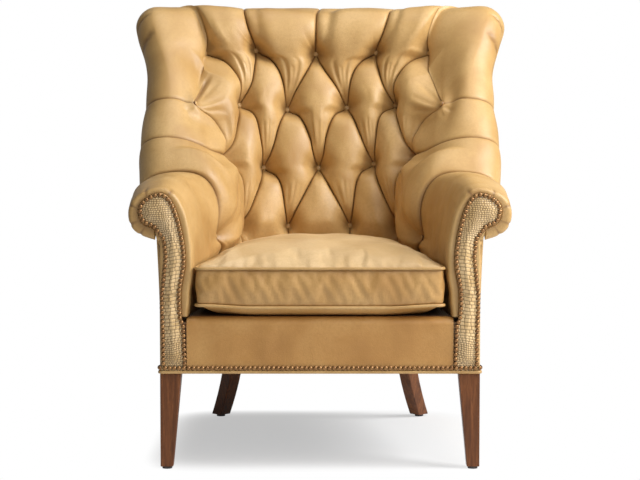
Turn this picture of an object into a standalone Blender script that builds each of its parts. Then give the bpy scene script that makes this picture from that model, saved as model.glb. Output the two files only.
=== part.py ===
"""Wingback chair: tufted leather back, wings and scroll arms on a hardwood frame, with a loose seat cushion.

Metres, +Z up, front towards -Y. Pieces are laid out as (x, depth behind the front plane, height), and
the whole chair is centred over the floor at the end. "Left" is the left seen from the front, at -X.
"""

import math

import bmesh
import bpy
import numpy as np
from mathutils.geometry import delaunay_2d_cdt

# Clearances
GAP = 0.0003
SEAM = 0.0005

# Legs and base
LEG_HEIGHT = 0.214
FRONT_LEG_TOP = 0.047
FRONT_LEG_FOOT = 0.028
REAR_LEG_SIDE = 0.036
REAR_LEG_INSET = 0.045
REAR_LEG_SETBACK = 0.083
REAR_LEG_SPLAY = 0.11
GLIDE_RADIUS = 0.011
GLIDE_HEIGHT = 0.005
FRONT_HALF_WIDTH = 0.357
REAR_HALF_WIDTH = 0.262
BASE_DEPTH = 0.715
REAR_CORNER_RADIUS = 0.05
RAIL_HEIGHT = 0.1135
RAIL_THICKNESS = 0.026
POST_DEPTH = 0.048
BACK_POST_SIDE = 0.038
BLOCK_HEIGHT = 0.08
BLOCK_LENGTH = 0.09
DECK_THICKNESS = 0.012
DUST_COVER_THICKNESS = 0.002
FRONT_COVER = 0.012
PANEL_THICKNESS = 0.008
BORDER_ROUND = 0.012
BORDER_LAP = 0.0175
TUCK_GAP = 0.0030
CORNER_EASE = 0.06
SPRING_COUNT = 5
SPRING_CLEARANCE = 0.004
SPRING_SWING = 0.02
SPRING_WIRE = 0.002
SPRING_LOOPS = 7

# Tufting: rows are counted down from the top, columns out from the middle
LAST_ROW = 4
LAST_COLUMN = 5
LOW_ROW_ABOVE_DECK = 0.165
ROW_PITCH = 0.147
COLUMN_PITCH = 0.0775
BACK_DEPTH = 0.605
RECLINE = math.radians(11.6)
SEAT_HALF_REAR = 0.256
SIDE_FLARE = 0.030
WRAP = 0.205
WRAP_LOSS = 0.040
PUFF = 0.046
LOW_PUFF = 0.022
ROLL_PUFF = 0.006
PUFF_REACH = 0.06
PLEAT_RISE = 0.012
BUTTON_SINK = 0.010
BUTTON_REACH = 0.022
PAD_THICKNESS = 0.030
SIDE_PLEAT_LIFT = {4: -0.008, 3: 0.048, 2: 0.016, 1: 0.0}

# Padded rolls. A wing station is (row, roll centre x, forward of the back, above the row, radius,
# fullness of its inner side, angle at which its leather is tucked in)
WING_STATIONS = (
    (4, 0.374, 0.220, 0.096, 0.057, 1.6, 255),
    (3, 0.380, 0.170, 0.048, 0.055, 1.4, 245),
    (2, 0.377, 0.120, 0.026, 0.050, 1.15, 238),
    (1, 0.386, 0.0835, -0.011, 0.050, 1.0, 232),
)
ROLL_START = 35
EAR_START = 65
EAR_SEAM_ROW = -0.5
ROLL_HOLLOW = 0.0245
ROLL_RAIL_RADIUS = 0.0215
TOP_ROLL_RADIUS = 0.052
TOP_ROLL_RISE = 0.059
TOP_ROLL_SETBACK = 0.0425
TOP_ROLL_BOW = 0.053
TOP_TUCK = 225
EAR_X = 0.412
EAR_FORWARD = 0.076
EAR_TURN = 14.2

# Arms
ARM_WIDTH = 0.0695
ARM_OVERHANG = 0.010
ARM_ROLL_HEIGHT = 0.568
ARM_ROLL_RADIUS = 0.057
ARM_FULLNESS = 1.09
ARM_TUCK = 272
ARM_PAD_THICKNESS = 0.021
ARM_PUFF = 0.006
ARM_EDGE = 0.009
SCROLL_INSET = (0.010, 0.013, 0.026, 0.027)
PANEL_RIM = 0.0085

# Nail strips
NAIL_WIDTH = 0.0095
NAIL_HEIGHT = 0.0036
NAIL_INSET = 0.004
# The outer nails' line below the scroll, as (share of the way down, distance in from the panel's edge)
NAIL_WAIST = (
    (0.09, 0.0105),
    (0.21, 0.0145),
    (0.32, 0.0105),
    (0.41, 0.0075),
    (0.46, 0.0050),
    (0.56, 0.0050),
    (0.75, 0.0075),
)
BASE_NAIL_RISE = 0.013

# Seat cushion
CUSHION_FRONT = -0.002
CUSHION_CLEARANCE = 0.009
CUSHION_EDGE_LOW = 0.024
CUSHION_EDGE_HIGH = 0.106
CUSHION_CROWN = 0.056
CUSHION_BELLY = 0.005
WELT_RADIUS = 0.0035

# Sizes that follow from those above
SEAT_HALF_FRONT = FRONT_HALF_WIDTH - ARM_WIDTH
ARM_ROLL_X = FRONT_HALF_WIDTH + ARM_OVERHANG
PANEL_FOOT_INNER = SEAT_HALF_FRONT + PANEL_RIM
REAR_LEG_X = REAR_HALF_WIDTH - REAR_LEG_INSET
REAR_LEG_DEPTH = BASE_DEPTH - REAR_LEG_SETBACK
BASE_Z = LEG_HEIGHT + GAP
RAIL_TOP = BASE_Z + RAIL_HEIGHT
DECK_TOP = RAIL_TOP + GAP + DECK_THICKNESS
PAD_FOOT = DECK_TOP + SEAM
BOTTOM_ROW = LAST_ROW + (LOW_ROW_ABOVE_DECK - SEAM) / ROW_PITCH
SIDE_SLOPE = (FRONT_HALF_WIDTH - REAR_HALF_WIDTH) / BASE_DEPTH
PANEL_FOOT_OUTER = FRONT_HALF_WIDTH - SIDE_SLOPE * FRONT_COVER - SEAM

# Colours
LEATHER = (0.58, 0.36, 0.14)
EMBOSSED = (0.42, 0.32, 0.19)
WELT = (0.50, 0.30, 0.11)
WALNUT = (0.12, 0.05, 0.025)
BEECH = (0.50, 0.33, 0.18)
BRONZE = (0.25, 0.12, 0.05)
STEEL = (0.35, 0.35, 0.36)
CANVAS = (0.32, 0.27, 0.20)
CAMBRIC = (0.02, 0.02, 0.02)
NYLON = (0.06, 0.05, 0.05)


# Small helpers
def unit(vector):
    vector = np.asarray(vector, float)
    return vector / np.linalg.norm(vector, axis=-1, keepdims=True)


def blend(first, second, share):
    return np.asarray(first, float) * (1 - share) + np.asarray(second, float) * share


def smooth(value):
    value = np.clip(value, 0, 1)
    return value * value * (3 - 2 * value)


def spline(knots, values, at):
    """Natural cubic spline through the rows of values, one row per knot."""
    knots = np.asarray(knots, float)
    values = np.asarray(values, float)
    count = len(knots)
    step = np.diff(knots)
    matrix = np.eye(count)
    right = np.zeros((count, values.shape[1]))
    for i in range(1, count - 1):
        matrix[i, i - 1 : i + 2] = step[i - 1], 2 * (step[i - 1] + step[i]), step[i]
        slope_after = (values[i + 1] - values[i]) / step[i]
        slope_before = (values[i] - values[i - 1]) / step[i - 1]
        right[i] = 6 * (slope_after - slope_before)
    bend = np.linalg.solve(matrix, right)
    at = np.asarray(at, float)
    i = np.clip(np.searchsorted(knots, at) - 1, 0, count - 2)
    low = ((knots[i + 1] - at) / step[i])[:, None]
    high = ((at - knots[i]) / step[i])[:, None]
    square = (step[i] ** 2 / 6)[:, None]
    straight = low * values[i] + high * values[i + 1]
    return straight + ((low**3 - low) * bend[i] + (high**3 - high) * bend[i + 1]) * square


def chords(knots, values, at):
    """Straight lines between the rows of values, one row per knot."""
    knots = np.asarray(knots, float)
    i = np.clip(np.searchsorted(knots, at) - 1, 0, len(knots) - 2)
    share = ((at - knots[i]) / (knots[i + 1] - knots[i])).reshape((-1,) + (1,) * (values.ndim - 1))
    return values[i] * (1 - share) + values[i + 1] * share


# Scene
def clear_scene():
    for item in list(bpy.data.objects):
        bpy.data.objects.remove(item, do_unlink=True)
    for group in list(bpy.data.collections):
        bpy.data.collections.remove(group)


def named_collection(name):
    group = bpy.data.collections.new(name)
    bpy.context.scene.collection.children.link(group)
    return group


def make_material(name, colour, roughness, metallic):
    material = bpy.data.materials.new(name)
    material.use_nodes = True
    shader = material.node_tree.nodes["Principled BSDF"]
    shader.inputs["Base Color"].default_value = (*colour, 1)
    shader.inputs["Roughness"].default_value = roughness
    shader.inputs["Metallic"].default_value = metallic
    material.diffuse_color = (*colour, 1)
    return material


clear_scene()
PARTS = named_collection("wingback_chair")


def add_part(name, bm, colour, roughness=0.5, metallic=0.0):
    """Turn a bmesh into a named part with its own material."""
    bmesh.ops.recalc_face_normals(bm, faces=bm.faces[:])
    if bm.calc_volume(signed=True) < 0:
        bmesh.ops.reverse_faces(bm, faces=bm.faces[:])
    mesh = bpy.data.meshes.new(name)
    bm.to_mesh(mesh)
    bm.free()
    mesh.materials.append(make_material(name + "_finish", colour, roughness, metallic))
    part = bpy.data.objects.new(name, mesh)
    PARTS.objects.link(part)
    return part


def add_bevel(part, width):
    bevel = part.modifiers.new("edges", "BEVEL")
    bevel.width = width
    bevel.segments = 2
    bevel.limit_method = "ANGLE"
    bevel.angle_limit = math.radians(40)


# Builders
def loft(name, rings, colour, closed=False, roughness=0.5, metallic=0.0):
    """A body through rings of points, capped at both ends unless the rings close on themselves."""
    bm = bmesh.new()
    loops = [[bm.verts.new(point) for point in ring] for ring in rings]
    pairs = list(zip(loops, loops[1:]))
    if closed:
        pairs.append((loops[-1], loops[0]))
    for first, second in pairs:
        for i in range(len(first)):
            j = (i + 1) % len(first)
            bm.faces.new((first[i], first[j], second[j], second[i]))
    if not closed:
        bm.faces.new(loops[0][::-1])
        bm.faces.new(loops[-1])
    return add_part(name, bm, colour, roughness, metallic)


def plan_prism(name, outline, bottom, top, colour, roughness=0.5):
    """An upright body over a plan outline of (x, depth) points."""
    rings = [[(x, depth, z) for x, depth in outline] for z in (bottom, top)]
    return loft(name, rings, colour, roughness=roughness)


def front_prism(name, outline, front, back, colour, roughness=0.5):
    """A body with an outline of (x, height) points, running from front to back."""
    rings = [[(x, depth, z) for x, z in outline] for depth in (front, back)]
    return loft(name, rings, colour, roughness=roughness)


def cell_faces(corners, fold):
    """Split one cell of a grid along the diagonal its pleat follows."""
    a, b, c, d = corners
    if fold > 0:
        return (a, b, c), (a, c, d)
    return (a, b, d), (b, c, d)


def fill_inner(bm, border, order, inner_points, flat):
    """Close a pad: walls from its border to the inner surface, and the inner surface itself.

    The first inner points lie behind the border's; flat holds the places of all of them on a plane.
    order ranks the border's corners, so that two pads fold the walls of their shared seam alike.
    """
    inner_verts = [bm.verts.new(point) for point in inner_points]
    ring = list(range(len(border)))
    filled = delaunay_2d_cdt([tuple(point) for point in flat], [], [ring], 1, 1e-7)
    source = [origin[0] for origin in filled[3]]
    for face in filled[2]:
        bm.faces.new([inner_verts[source[k]] for k in face])
    for k in ring:
        m = (k + 1) % len(border)
        a, b, c, d = border[k], border[m], inner_verts[m], inner_verts[k]
        for face in cell_faces((a, b, c, d), 1 if order[k] < order[m] else -1):
            bm.faces.new(face)


def pad(name, outer, inner, inner_u, inner_v, colour):
    """A padded body: a fine outer grid, walls round its border and a coarse inner surface.

    outer is a grid of points. inner gives a point for arrays of u and v, each 0 to 1 over the grid.
    inner_u and inner_v are the places where the inner surface bends.
    """
    columns, rows = outer.shape[:2]
    u = np.linspace(0, 1, columns)
    v = np.linspace(0, 1, rows)
    bm = bmesh.new()
    grid = [[bm.verts.new(outer[i, j]) for j in range(rows)] for i in range(columns)]
    for i in range(columns - 1):
        for j in range(rows - 1):
            corners = (grid[i][j], grid[i + 1][j], grid[i + 1][j + 1], grid[i][j + 1])
            for face in cell_faces(corners, 1):
                bm.faces.new(face)
    border = [(i, 0) for i in range(columns - 1)]
    border += [(columns - 1, j) for j in range(rows - 1)]
    border += [(i, rows - 1) for i in range(columns - 1, 0, -1)]
    border += [(0, j) for j in range(rows - 1, 0, -1)]
    flat = [(u[i], v[j]) for i, j in border]
    flat += [(a, b) for a in inner_u for b in inner_v if 0 < a < 1 and 0 < b < 1]
    flat = np.array(flat)
    fill_inner(bm, [grid[i][j] for i, j in border], border, inner(flat[:, 0], flat[:, 1]), flat)
    return add_part(name, bm, colour, 0.45)


def shell(name, outer, inner, colour):
    """A thin body between two grids of points of the same size."""
    columns, rows = outer.shape[:2]

    def inside(u, v):
        i = np.rint(u * (columns - 1)).astype(int)
        j = np.rint(v * (rows - 1)).astype(int)
        return inner[i, j]

    return pad(name, outer, inside, np.linspace(0, 1, columns), np.linspace(0, 1, rows), colour)


def mirrored(points, side):
    """The points as they are for the right side, or mirrored for the left."""
    points = np.array(points, float)
    points[..., 0] *= side
    return points


def grid_normals(points):
    """Unit normals of a grid of points, from its two directions."""
    along = np.gradient(points, axis=0)
    across = np.gradient(points, axis=1)
    return unit(np.cross(along, across))


# Layout of the tufted back: the surface at the depth of the pleats, by column and row
def row_height(row):
    return DECK_TOP + LOW_ROW_ABOVE_DECK + (LAST_ROW - row) * ROW_PITCH


def back_depth(row):
    return BACK_DEPTH + (LAST_ROW - min(row, LAST_ROW)) * ROW_PITCH * math.tan(RECLINE)


def field_point(column, row):
    """A point of the flat field between the rolls; below the last row it drops straight down."""
    above = LAST_ROW - min(row, LAST_ROW)
    half = SEAT_HALF_REAR + SIDE_FLARE * above
    squeeze = (LAST_COLUMN * COLUMN_PITCH - half) / LAST_COLUMN**3
    wrap = WRAP - WRAP_LOSS * above
    out = column / LAST_COLUMN
    x = COLUMN_PITCH * column - squeeze * column**3
    lift = SIDE_PLEAT_LIFT.get(row, 0.0) * abs(out) ** 3
    return np.array([x, back_depth(row) - wrap * abs(out) ** 3, row_height(row) + lift])


def field_normal(column, row):
    step = 0.05
    along = field_point(column + step, row) - field_point(column - step, row)
    return unit(np.cross((0, -math.tan(RECLINE), -1), along))


def wing_centre(station):
    row, x, forward, rise = station[:4]
    return np.array([x, back_depth(row) - forward, row_height(row) + rise])


def arm_front_centre():
    return np.array([ARM_ROLL_X, FRONT_COVER + SEAM, ARM_ROLL_HEIGHT])


def ear_centre():
    top = top_centre(0)
    return np.array([EAR_X, top[1] - EAR_FORWARD, top[2]])


def top_centre(column):
    x = EAR_X * math.sin(math.radians(EAR_TURN * column))
    depth = back_depth(1) + TOP_ROLL_SETBACK - TOP_ROLL_BOW * (column / LAST_COLUMN) ** 2
    return np.array([x, depth, row_height(1) + TOP_ROLL_RISE])


def roll_angles(tuck, start=ROLL_START):
    """Angles round a roll, from where it leaves the field to its tuck."""
    return np.radians(np.linspace(start, tuck, 5))


def roll_points(centre, radius, out, crest, angles, fullness=1.0):
    """Points round a roll, from its inner side over the crest to the tuck on the outside."""
    points = []
    for angle in angles:
        across = -math.cos(angle) * (fullness if math.cos(angle) > 0 else 1.0)
        points.append(centre + radius * (across * out + math.sin(angle) * crest))
    return np.array(points)


def roll_frame(before, here, after):
    """Outward and crest directions of a roll that runs past three points."""
    tangent = unit(unit(after - here) + unit(here - before))
    out = unit(np.array([1.0, 0, 0]) - tangent[0] * tangent)
    crest = np.cross(out, tangent)
    return out, crest * (1 if crest[2] > 0 else -1)


def wing_frames():
    centres = [arm_front_centre()] + [wing_centre(s) for s in WING_STATIONS] + [ear_centre()]
    return [roll_frame(*centres[i - 1 : i + 2]) for i in range(1, len(centres) - 1)]


def ear_surface(column, row, radius):
    """Points of the ear, where the side roll turns into the top roll, at arrays of column and row."""
    across = (column - LAST_COLUMN) / ROLL_STEP
    along = (1 - row) / ROLL_STEP
    ring = np.maximum(np.maximum(across, along), 1)
    share = np.where(across >= along, along, 2 * ring - across) / (2 * ring)
    turn = np.clip(share, 0, 1)[..., None] * math.pi / 2
    angle = np.radians(EAR_START + (ring - 1) * (TOP_TUCK - EAR_START) / 4)[..., None]
    side_crest = wing_frames()[-1][1]
    crest = unit(side_crest * np.cos(turn) + np.array([0, 0, 1.0]) * np.sin(turn))
    out = np.array([1.0, 0, 0]) * np.cos(turn) + np.array([0, 1.0, 0]) * np.sin(turn)
    out = unit(out - (out * crest).sum(-1, keepdims=True) * crest)
    return ear_centre() + radius * (np.sin(angle) * crest - np.cos(angle) * out)


ROLL_STEP = 0.6
ROLL_COLUMNS = LAST_COLUMN + ROLL_STEP * np.arange(1, 6)
ROLL_ROWS = 1 - ROLL_STEP * np.arange(1, 6)
NET_COLUMNS = np.concatenate([np.arange(LAST_COLUMN + 1.0), ROLL_COLUMNS])
NET_ROWS = np.concatenate([np.arange(LAST_ROW, 0.0, -1), ROLL_ROWS])


def build_net(padded):
    """Points of the half back by row and column: the leather when padded, else its inner face."""
    net = np.zeros((len(NET_ROWS), len(NET_COLUMNS), 3))
    flat = LAST_COLUMN + 1
    for i, row in enumerate(NET_ROWS[:LAST_ROW]):
        inset = 0.0 if padded else PAD_THICKNESS * (0.5 if row == 1 else 1.0)
        for j in range(flat):
            net[i, j] = field_point(j, row) - inset * field_normal(j, row)
    ear_start = EAR_START if padded else ROLL_START
    for station, (out, crest) in zip(WING_STATIONS, wing_frames()):
        angles = roll_angles(station[6], ear_start if station[0] == 1 else ROLL_START)
        radius = station[4] if padded else ROLL_HOLLOW
        fullness = station[5] if padded else 1.0
        net[LAST_ROW - station[0], flat:] = roll_points(
            wing_centre(station), radius, out, crest, angles, fullness
        )
    radius = TOP_ROLL_RADIUS if padded else ROLL_HOLLOW
    back = np.array([0, 1.0, 0])
    up = np.array([0, 0, 1.0])
    for j in range(flat):
        angles = roll_angles(TOP_TUCK, blend(ROLL_START, ear_start, smooth((j - 2) / 3)))
        net[LAST_ROW:, j] = roll_points(top_centre(j), radius, back, up, angles)
    columns, rows = np.meshgrid(ROLL_COLUMNS, ROLL_ROWS)
    net[LAST_ROW:, flat:] = ear_surface(columns, rows, radius)
    return net


LEATHER_NET = build_net(True)
INNER_NET = build_net(False)
FULL_COLUMNS = np.concatenate([-NET_COLUMNS[:0:-1], NET_COLUMNS])


def travelled(points):
    """Distance run along a line of points, up to each of them."""
    return np.concatenate([[0.0], np.cumsum(np.linalg.norm(np.diff(points, axis=0), axis=1))])


def net_surface(net, column, row, through):
    """Points of a net at arrays of column and row, with the given way of joining its points.

    The joining curves are run by distance, so that they don't overshoot where the net is uneven.
    """
    order = np.argsort(NET_ROWS)
    rows, index = np.unique(np.minimum(row, LAST_ROW), return_inverse=True)
    lines = np.zeros((len(rows), len(NET_COLUMNS), 3))
    for j in range(len(NET_COLUMNS)):
        knots = travelled(net[order, j])
        lines[:, j] = through(knots, net[order, j], np.interp(rows, NET_ROWS[order], knots))
    points = np.zeros((len(column), 3))
    for k in range(len(rows)):
        here = index == k
        line = np.concatenate([mirrored(lines[k][:0:-1], -1), lines[k]])
        knots = travelled(line)
        points[here] = through(knots, line, np.interp(column[here], FULL_COLUMNS, knots))
    return drop_to_deck(points, row)


def drop_to_deck(points, row):
    """Below the last row of buttons the surface falls straight to the deck."""
    share = np.clip((row - LAST_ROW) / (BOTTOM_ROW - LAST_ROW), 0, 1)
    points[:, 2] = blend(points[:, 2], PAD_FOOT, share)
    return points


# Tufting: pleats join the buttons and run on over the rolls
def button_places():
    places = []
    for row in range(1, LAST_ROW + 1):
        for column in range(-LAST_COLUMN, LAST_COLUMN + 1):
            if (column + row) % 2 == 1:
                places.append((column, row))
    return places


def pleat_lines():
    """Pleats as pairs of (column, row) ends."""
    buttons = button_places()
    lines = []
    for column, row in buttons:
        for step in (-1, 1):
            if (column + step, row + 1) in buttons:
                lines.append(((column, row), (column + step, row + 1)))
        if row == 1:
            lines.append(((column, row), (column, -2.2)))
        if row == LAST_ROW:
            lines.append(((column, row), (column, BOTTOM_ROW + 0.2)))
    for side in (-1, 1):
        for column, row in ((5, 2), (4, 3), (5, 4)):
            lines.append(((side * column, row), (side * 8.3, row)))
    return lines


def puff_size(column, row):
    """How far the leather stands out between pleats: most in the field, little over the rolls."""
    start = 3.9 + 1.1 * smooth((row - 2.5) / 0.5)
    side = smooth((np.abs(column) - start) / 1.2)
    top = smooth((0.9 - row) / 1.1)
    corner = smooth((np.abs(column) - 3.6) / 0.8) * smooth((1.75 - row) / 0.75)
    low = smooth((row - 3.9) / 0.5)
    size = PUFF + (LOW_PUFF - PUFF) * low
    return size + (ROLL_PUFF - size) * np.maximum(np.maximum(side, top), corner)


def tuft_height(column, row):
    """Height of the leather over the surface that the pleats lie in."""
    point = np.stack([column * COLUMN_PITCH, row * ROW_PITCH], -1)
    scale = np.array([COLUMN_PITCH, ROW_PITCH])
    rise = np.ones(len(column))
    for start, end in pleat_lines():
        start = np.array(start) * scale
        along = np.array(end) * scale - start
        share = np.clip(((point - start) @ along) / (along @ along), 0, 1)
        distance = np.linalg.norm(point - start - share[:, None] * along, axis=1)
        near = np.minimum(distance / PUFF_REACH, 1)
        rise *= np.sqrt(1 - (1 - near) ** 2)
    dip = np.zeros(len(column))
    for place in button_places():
        distance = np.linalg.norm(point - np.array(place) * scale, axis=1)
        dip = np.maximum(dip, np.exp(-((distance / BUTTON_REACH) ** 2)))
    size = puff_size(column, row)
    lift = PLEAT_RISE * size / PUFF * (1 - dip)
    return lift + size * rise - BUTTON_SINK * size / PUFF * dip


def leather_base(column, row):
    """The leather without its tufts, at arrays of column and row."""
    points = net_surface(LEATHER_NET, column, row, spline)
    out = np.abs(column)
    inside = np.minimum(out - LAST_COLUMN, 1 - row) / ROLL_STEP
    share = smooth(inside)[:, None]
    ear = ear_surface(out, row, TOP_ROLL_RADIUS)
    ear[:, 0] *= np.sign(column)
    return blend(points, ear, share)


def leather_surface(column, row):
    step = 0.02
    above = np.minimum(row, LAST_ROW - step)
    along = leather_base(column + step, above) - leather_base(column - step, above)
    down = leather_base(column, above + step) - leather_base(column, above - step)
    normal = unit(np.cross(down, along))
    normal[:, 2] *= 1 - smooth((row - LAST_ROW) / 0.3)
    return leather_base(column, row) + normal * tuft_height(column, row)[:, None]


def zigzag(row):
    """Column at which the wing leather is sewn to the back, along the pleats."""
    if row <= 1:
        return 4.0
    if row >= LAST_ROW:
        return 3.0
    return 3.0 + min(row % 2, 2 - row % 2)


LATTICE_STEPS = 4
COLUMN_SEAM = SEAM / 2 / COLUMN_PITCH
ROW_SEAM = SEAM / 2 / ROW_PITCH


def lattice_row(step):
    """Row of a lattice step; the steps below the last row are stretched down to the deck."""
    row = step / LATTICE_STEPS
    return row if row <= LAST_ROW else LAST_ROW + (row - LAST_ROW) * (BOTTOM_ROW - LAST_ROW)


def lattice_faces(keep):
    """Triangles of the button lattice, folded along the pleats, where keep(column, row) holds."""
    faces = []
    for i in range(-8 * LATTICE_STEPS, 8 * LATTICE_STEPS):
        for j in range(-2 * LATTICE_STEPS, (LAST_ROW + 1) * LATTICE_STEPS):
            a, b, c, d = (i, j), (i + 1, j), (i + 1, j + 1), (i, j + 1)
            odd = (i // LATTICE_STEPS + j // LATTICE_STEPS) % 2 == 1
            for face in cell_faces((a, b, c, d), 1 if odd else -1):
                column, row = np.mean(face, axis=0) / LATTICE_STEPS
                if keep(column, row):
                    faces.append(face)
    return faces


def border_loop(faces):
    """Corners round the edge of a sheet of triangles, in order."""
    edges = {}
    for face in faces:
        for k in range(3):
            edge = (face[k], face[(k + 1) % 3])
            if edge[::-1] in edges:
                del edges[edge[::-1]]
            else:
                edges[edge] = True
    follow = {start: end for start, end in edges}
    loop = [next(iter(follow))]
    while follow[loop[-1]] != loop[0]:
        loop.append(follow[loop[-1]])
    return loop


def inner_places(keep):
    """Places inside a pad where its inner surface bends, kept a little off the border."""
    reach = 0.1
    places = []
    for column in FULL_COLUMNS[1:-1]:
        for row in np.concatenate([NET_ROWS[:-1], np.arange(1.5, LAST_ROW)]):
            near = [(column + a, row + b) for a in (-reach, reach) for b in (-reach, reach)]
            if all(keep(*place) for place in near):
                places.append((column, row))
    return places


def lattice_pad(name, keep, place, colour):
    """A tufted pad over part of the lattice. place gives a corner's column and row, clear of its seams."""
    faces = lattice_faces(keep)
    corners = sorted({corner for face in faces for corner in face})
    at = np.array([place(*corner) for corner in corners])
    bm = bmesh.new()
    points = leather_surface(at[:, 0], at[:, 1])
    outer = {corner: bm.verts.new(point) for corner, point in zip(corners, points)}
    for face in faces:
        bm.faces.new([outer[corner] for corner in face])
    loop = border_loop(faces)
    flat = [place(*corner) for corner in loop]
    flat = np.array(flat + inner_places(keep))
    inner_points = net_surface(INNER_NET, flat[:, 0], flat[:, 1], chords)
    order = [(abs(i), -j) for i, j in loop]
    flat = flat * (COLUMN_PITCH, ROW_PITCH)
    fill_inner(bm, [outer[corner] for corner in loop], order, inner_points, flat)
    return add_part(name, bm, colour, 0.45)


def build_back_pads():
    def on_seam(i, j):
        return abs(abs(i / LATTICE_STEPS) - zigzag(j / LATTICE_STEPS)) < 1e-6

    def back_place(i, j):
        column = i / LATTICE_STEPS
        if on_seam(i, j):
            column -= math.copysign(COLUMN_SEAM, i)
        return column, lattice_row(j)

    def wing_place(i, j):
        column = i / LATTICE_STEPS
        row = lattice_row(j)
        if on_seam(i, j):
            column += math.copysign(COLUMN_SEAM, i)
        if abs(i) == LAST_COLUMN * LATTICE_STEPS and j >= LAST_ROW * LATTICE_STEPS:
            column -= math.copysign(COLUMN_SEAM, i)
        if abs(i) > LAST_COLUMN * LATTICE_STEPS and j == LAST_ROW * LATTICE_STEPS:
            row -= ROW_SEAM
        return column, row

    def wing_keep(column, row, side):
        reach = LAST_COLUMN if row > LAST_ROW else 8
        return zigzag(row) < side * column < reach

    lattice_pad("inside_back", lambda column, row: abs(column) < zigzag(row), back_place, LEATHER)
    lattice_pad("left_wing", lambda column, row: wing_keep(column, row, -1), wing_place, LEATHER)
    lattice_pad("right_wing", lambda column, row: wing_keep(column, row, 1), wing_place, LEATHER)


# Arms: sections from the pleat behind (0) to the scroll in front (1)
ARM_COLUMNS = np.concatenate([[4.0, 4.5, 5.0], ROLL_COLUMNS])


def arm_section(share, padded):
    """Points and outward directions of the arm's section, from the deck over the roll to the tuck."""
    station = WING_STATIONS[0]
    rear_out, rear_crest = wing_frames()[0]
    centre = blend(wing_centre(station), arm_front_centre(), share)
    out = unit(blend(rear_out, (1, 0, 0), share))
    crest = unit(blend(rear_crest, (0, 0, 1), share))
    angles = roll_angles(blend(station[6], ARM_TUCK, share))
    radius = blend(station[4], ARM_ROLL_RADIUS, share) if padded else ROLL_HOLLOW
    fullness = blend(station[5], ARM_FULLNESS, share) if padded else 1.0
    roll = roll_points(centre, radius, out, crest, angles, fullness)
    rear = field_point(LAST_COLUMN, LAST_ROW)
    front_height = DECK_TOP + LOW_ROW_ABOVE_DECK - 0.030
    front = np.array([SEAT_HALF_FRONT, arm_front_centre()[1], front_height])
    face = blend(rear, front, share)
    hollow = 0.009 * share
    foot = np.array([face[0] + hollow, face[1], PAD_FOOT])
    waist = np.array([face[0] + hollow, face[1], blend(PAD_FOOT, face[2], 0.5)])
    inside = np.array([foot, waist, face])
    if not padded:
        inside[:, 0] = face[0] + ARM_PAD_THICKNESS
    directions = [-out] * 3
    directions += [-math.cos(angle) * out + math.sin(angle) * crest for angle in angles]
    return np.concatenate([inside, roll]), np.array(directions)


def arm_line(share, columns, padded, through):
    points, directions = arm_section(share, padded)
    return through(ARM_COLUMNS, points, columns), unit(spline(ARM_COLUMNS, directions, columns))


def arm_rear_line(columns, padded):
    """Edge of the wing that the arm is sewn to: up column five to the last row, then over the roll."""
    columns = np.asarray(columns, float)
    drop = np.clip(5.0 - columns, 0, 1) * (BOTTOM_ROW - LAST_ROW)
    column = np.maximum(columns, LAST_COLUMN)
    if padded:
        return leather_surface(column, LAST_ROW + drop)
    return net_surface(INNER_NET, column, LAST_ROW + drop, chords)


def arm_points(share, columns, padded):
    """The arm's leather or inner face at one share of its length, eased into the wing's edge."""
    through = spline if padded else chords
    line, directions = arm_line(share, columns, padded, through)
    rear = arm_line(0, columns, padded, through)[0]
    return line + (arm_rear_line(columns, padded) - rear) * (1 - share) ** 4, directions


def scroll_inset(columns):
    """How far in from the leather's edge the front panel starts, round the scroll."""
    inner, top, outer, under = SCROLL_INSET
    values = np.array([inner, inner, top, outer, under])
    return np.interp(columns, [4.0, 5.0, 6.2, 7.2, 8.0], values)


def arm_puff(columns, shares):
    """Soft fullness of the arm's leather, gone at the pleat behind and at the front edge."""
    along = np.sin(np.pi * np.clip(shares, 0, 1)) ** 0.6
    across = np.sin(np.pi * np.clip((columns - 4.0) / 4.0, 0, 1)) ** 0.5
    return ARM_PUFF * along * across


ARM_GRID_COLUMNS = np.linspace(4.0, 8.0, 17)


def arm_front_rows(line, directions, inset):
    """Rows that turn the arm's leather round its front edge and in to the front panel."""
    forward = np.array([0, -1.0, 0])
    reach = line[0, 1] - 0.004
    rows = []
    for angle in np.radians([30, 60, 90]):
        turned = line - directions * ARM_EDGE * (1 - math.cos(angle))
        rows.append(turned + forward * reach * math.sin(angle))
    rows.append(line - directions * (inset - SEAM)[:, None] + forward * reach)
    return rows


def build_arm_pad(word, side):
    shares = np.linspace(0.0025, 1, 9)
    rows = []
    for share in shares:
        line, directions = arm_points(share, ARM_GRID_COLUMNS, True)
        puff = arm_puff(ARM_GRID_COLUMNS, np.full(len(ARM_GRID_COLUMNS), share))
        rows.append(line + directions * puff[:, None])
    rows += arm_front_rows(line, directions, scroll_inset(ARM_GRID_COLUMNS))
    outer = mirrored(np.stack(rows, axis=1), side)
    count = outer.shape[1]
    place = np.linspace(0, 1, count)
    inner_share = np.concatenate([shares, np.ones(count - len(shares))])

    def inner(u, v):
        points = np.zeros((len(u), 3))
        for k in range(len(u)):
            share = np.interp(v[k], place, inner_share)
            column = np.array([4.0 + 4.0 * u[k]])
            points[k] = arm_points(share, column, False)[0][0]
            if v[k] > place[len(shares) - 1] + 1e-6:
                edge, directions = arm_points(share, column, True)
                points[k] = (edge - directions * (scroll_inset(column) - SEAM)[:, None])[0]
                points[k, 1] = FRONT_COVER + GAP
        return mirrored(points, side)

    bends = (ARM_COLUMNS - 4.0) / 4.0
    pad(word + "_arm", outer, inner, bends, place[2:9:2], LEATHER)


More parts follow.
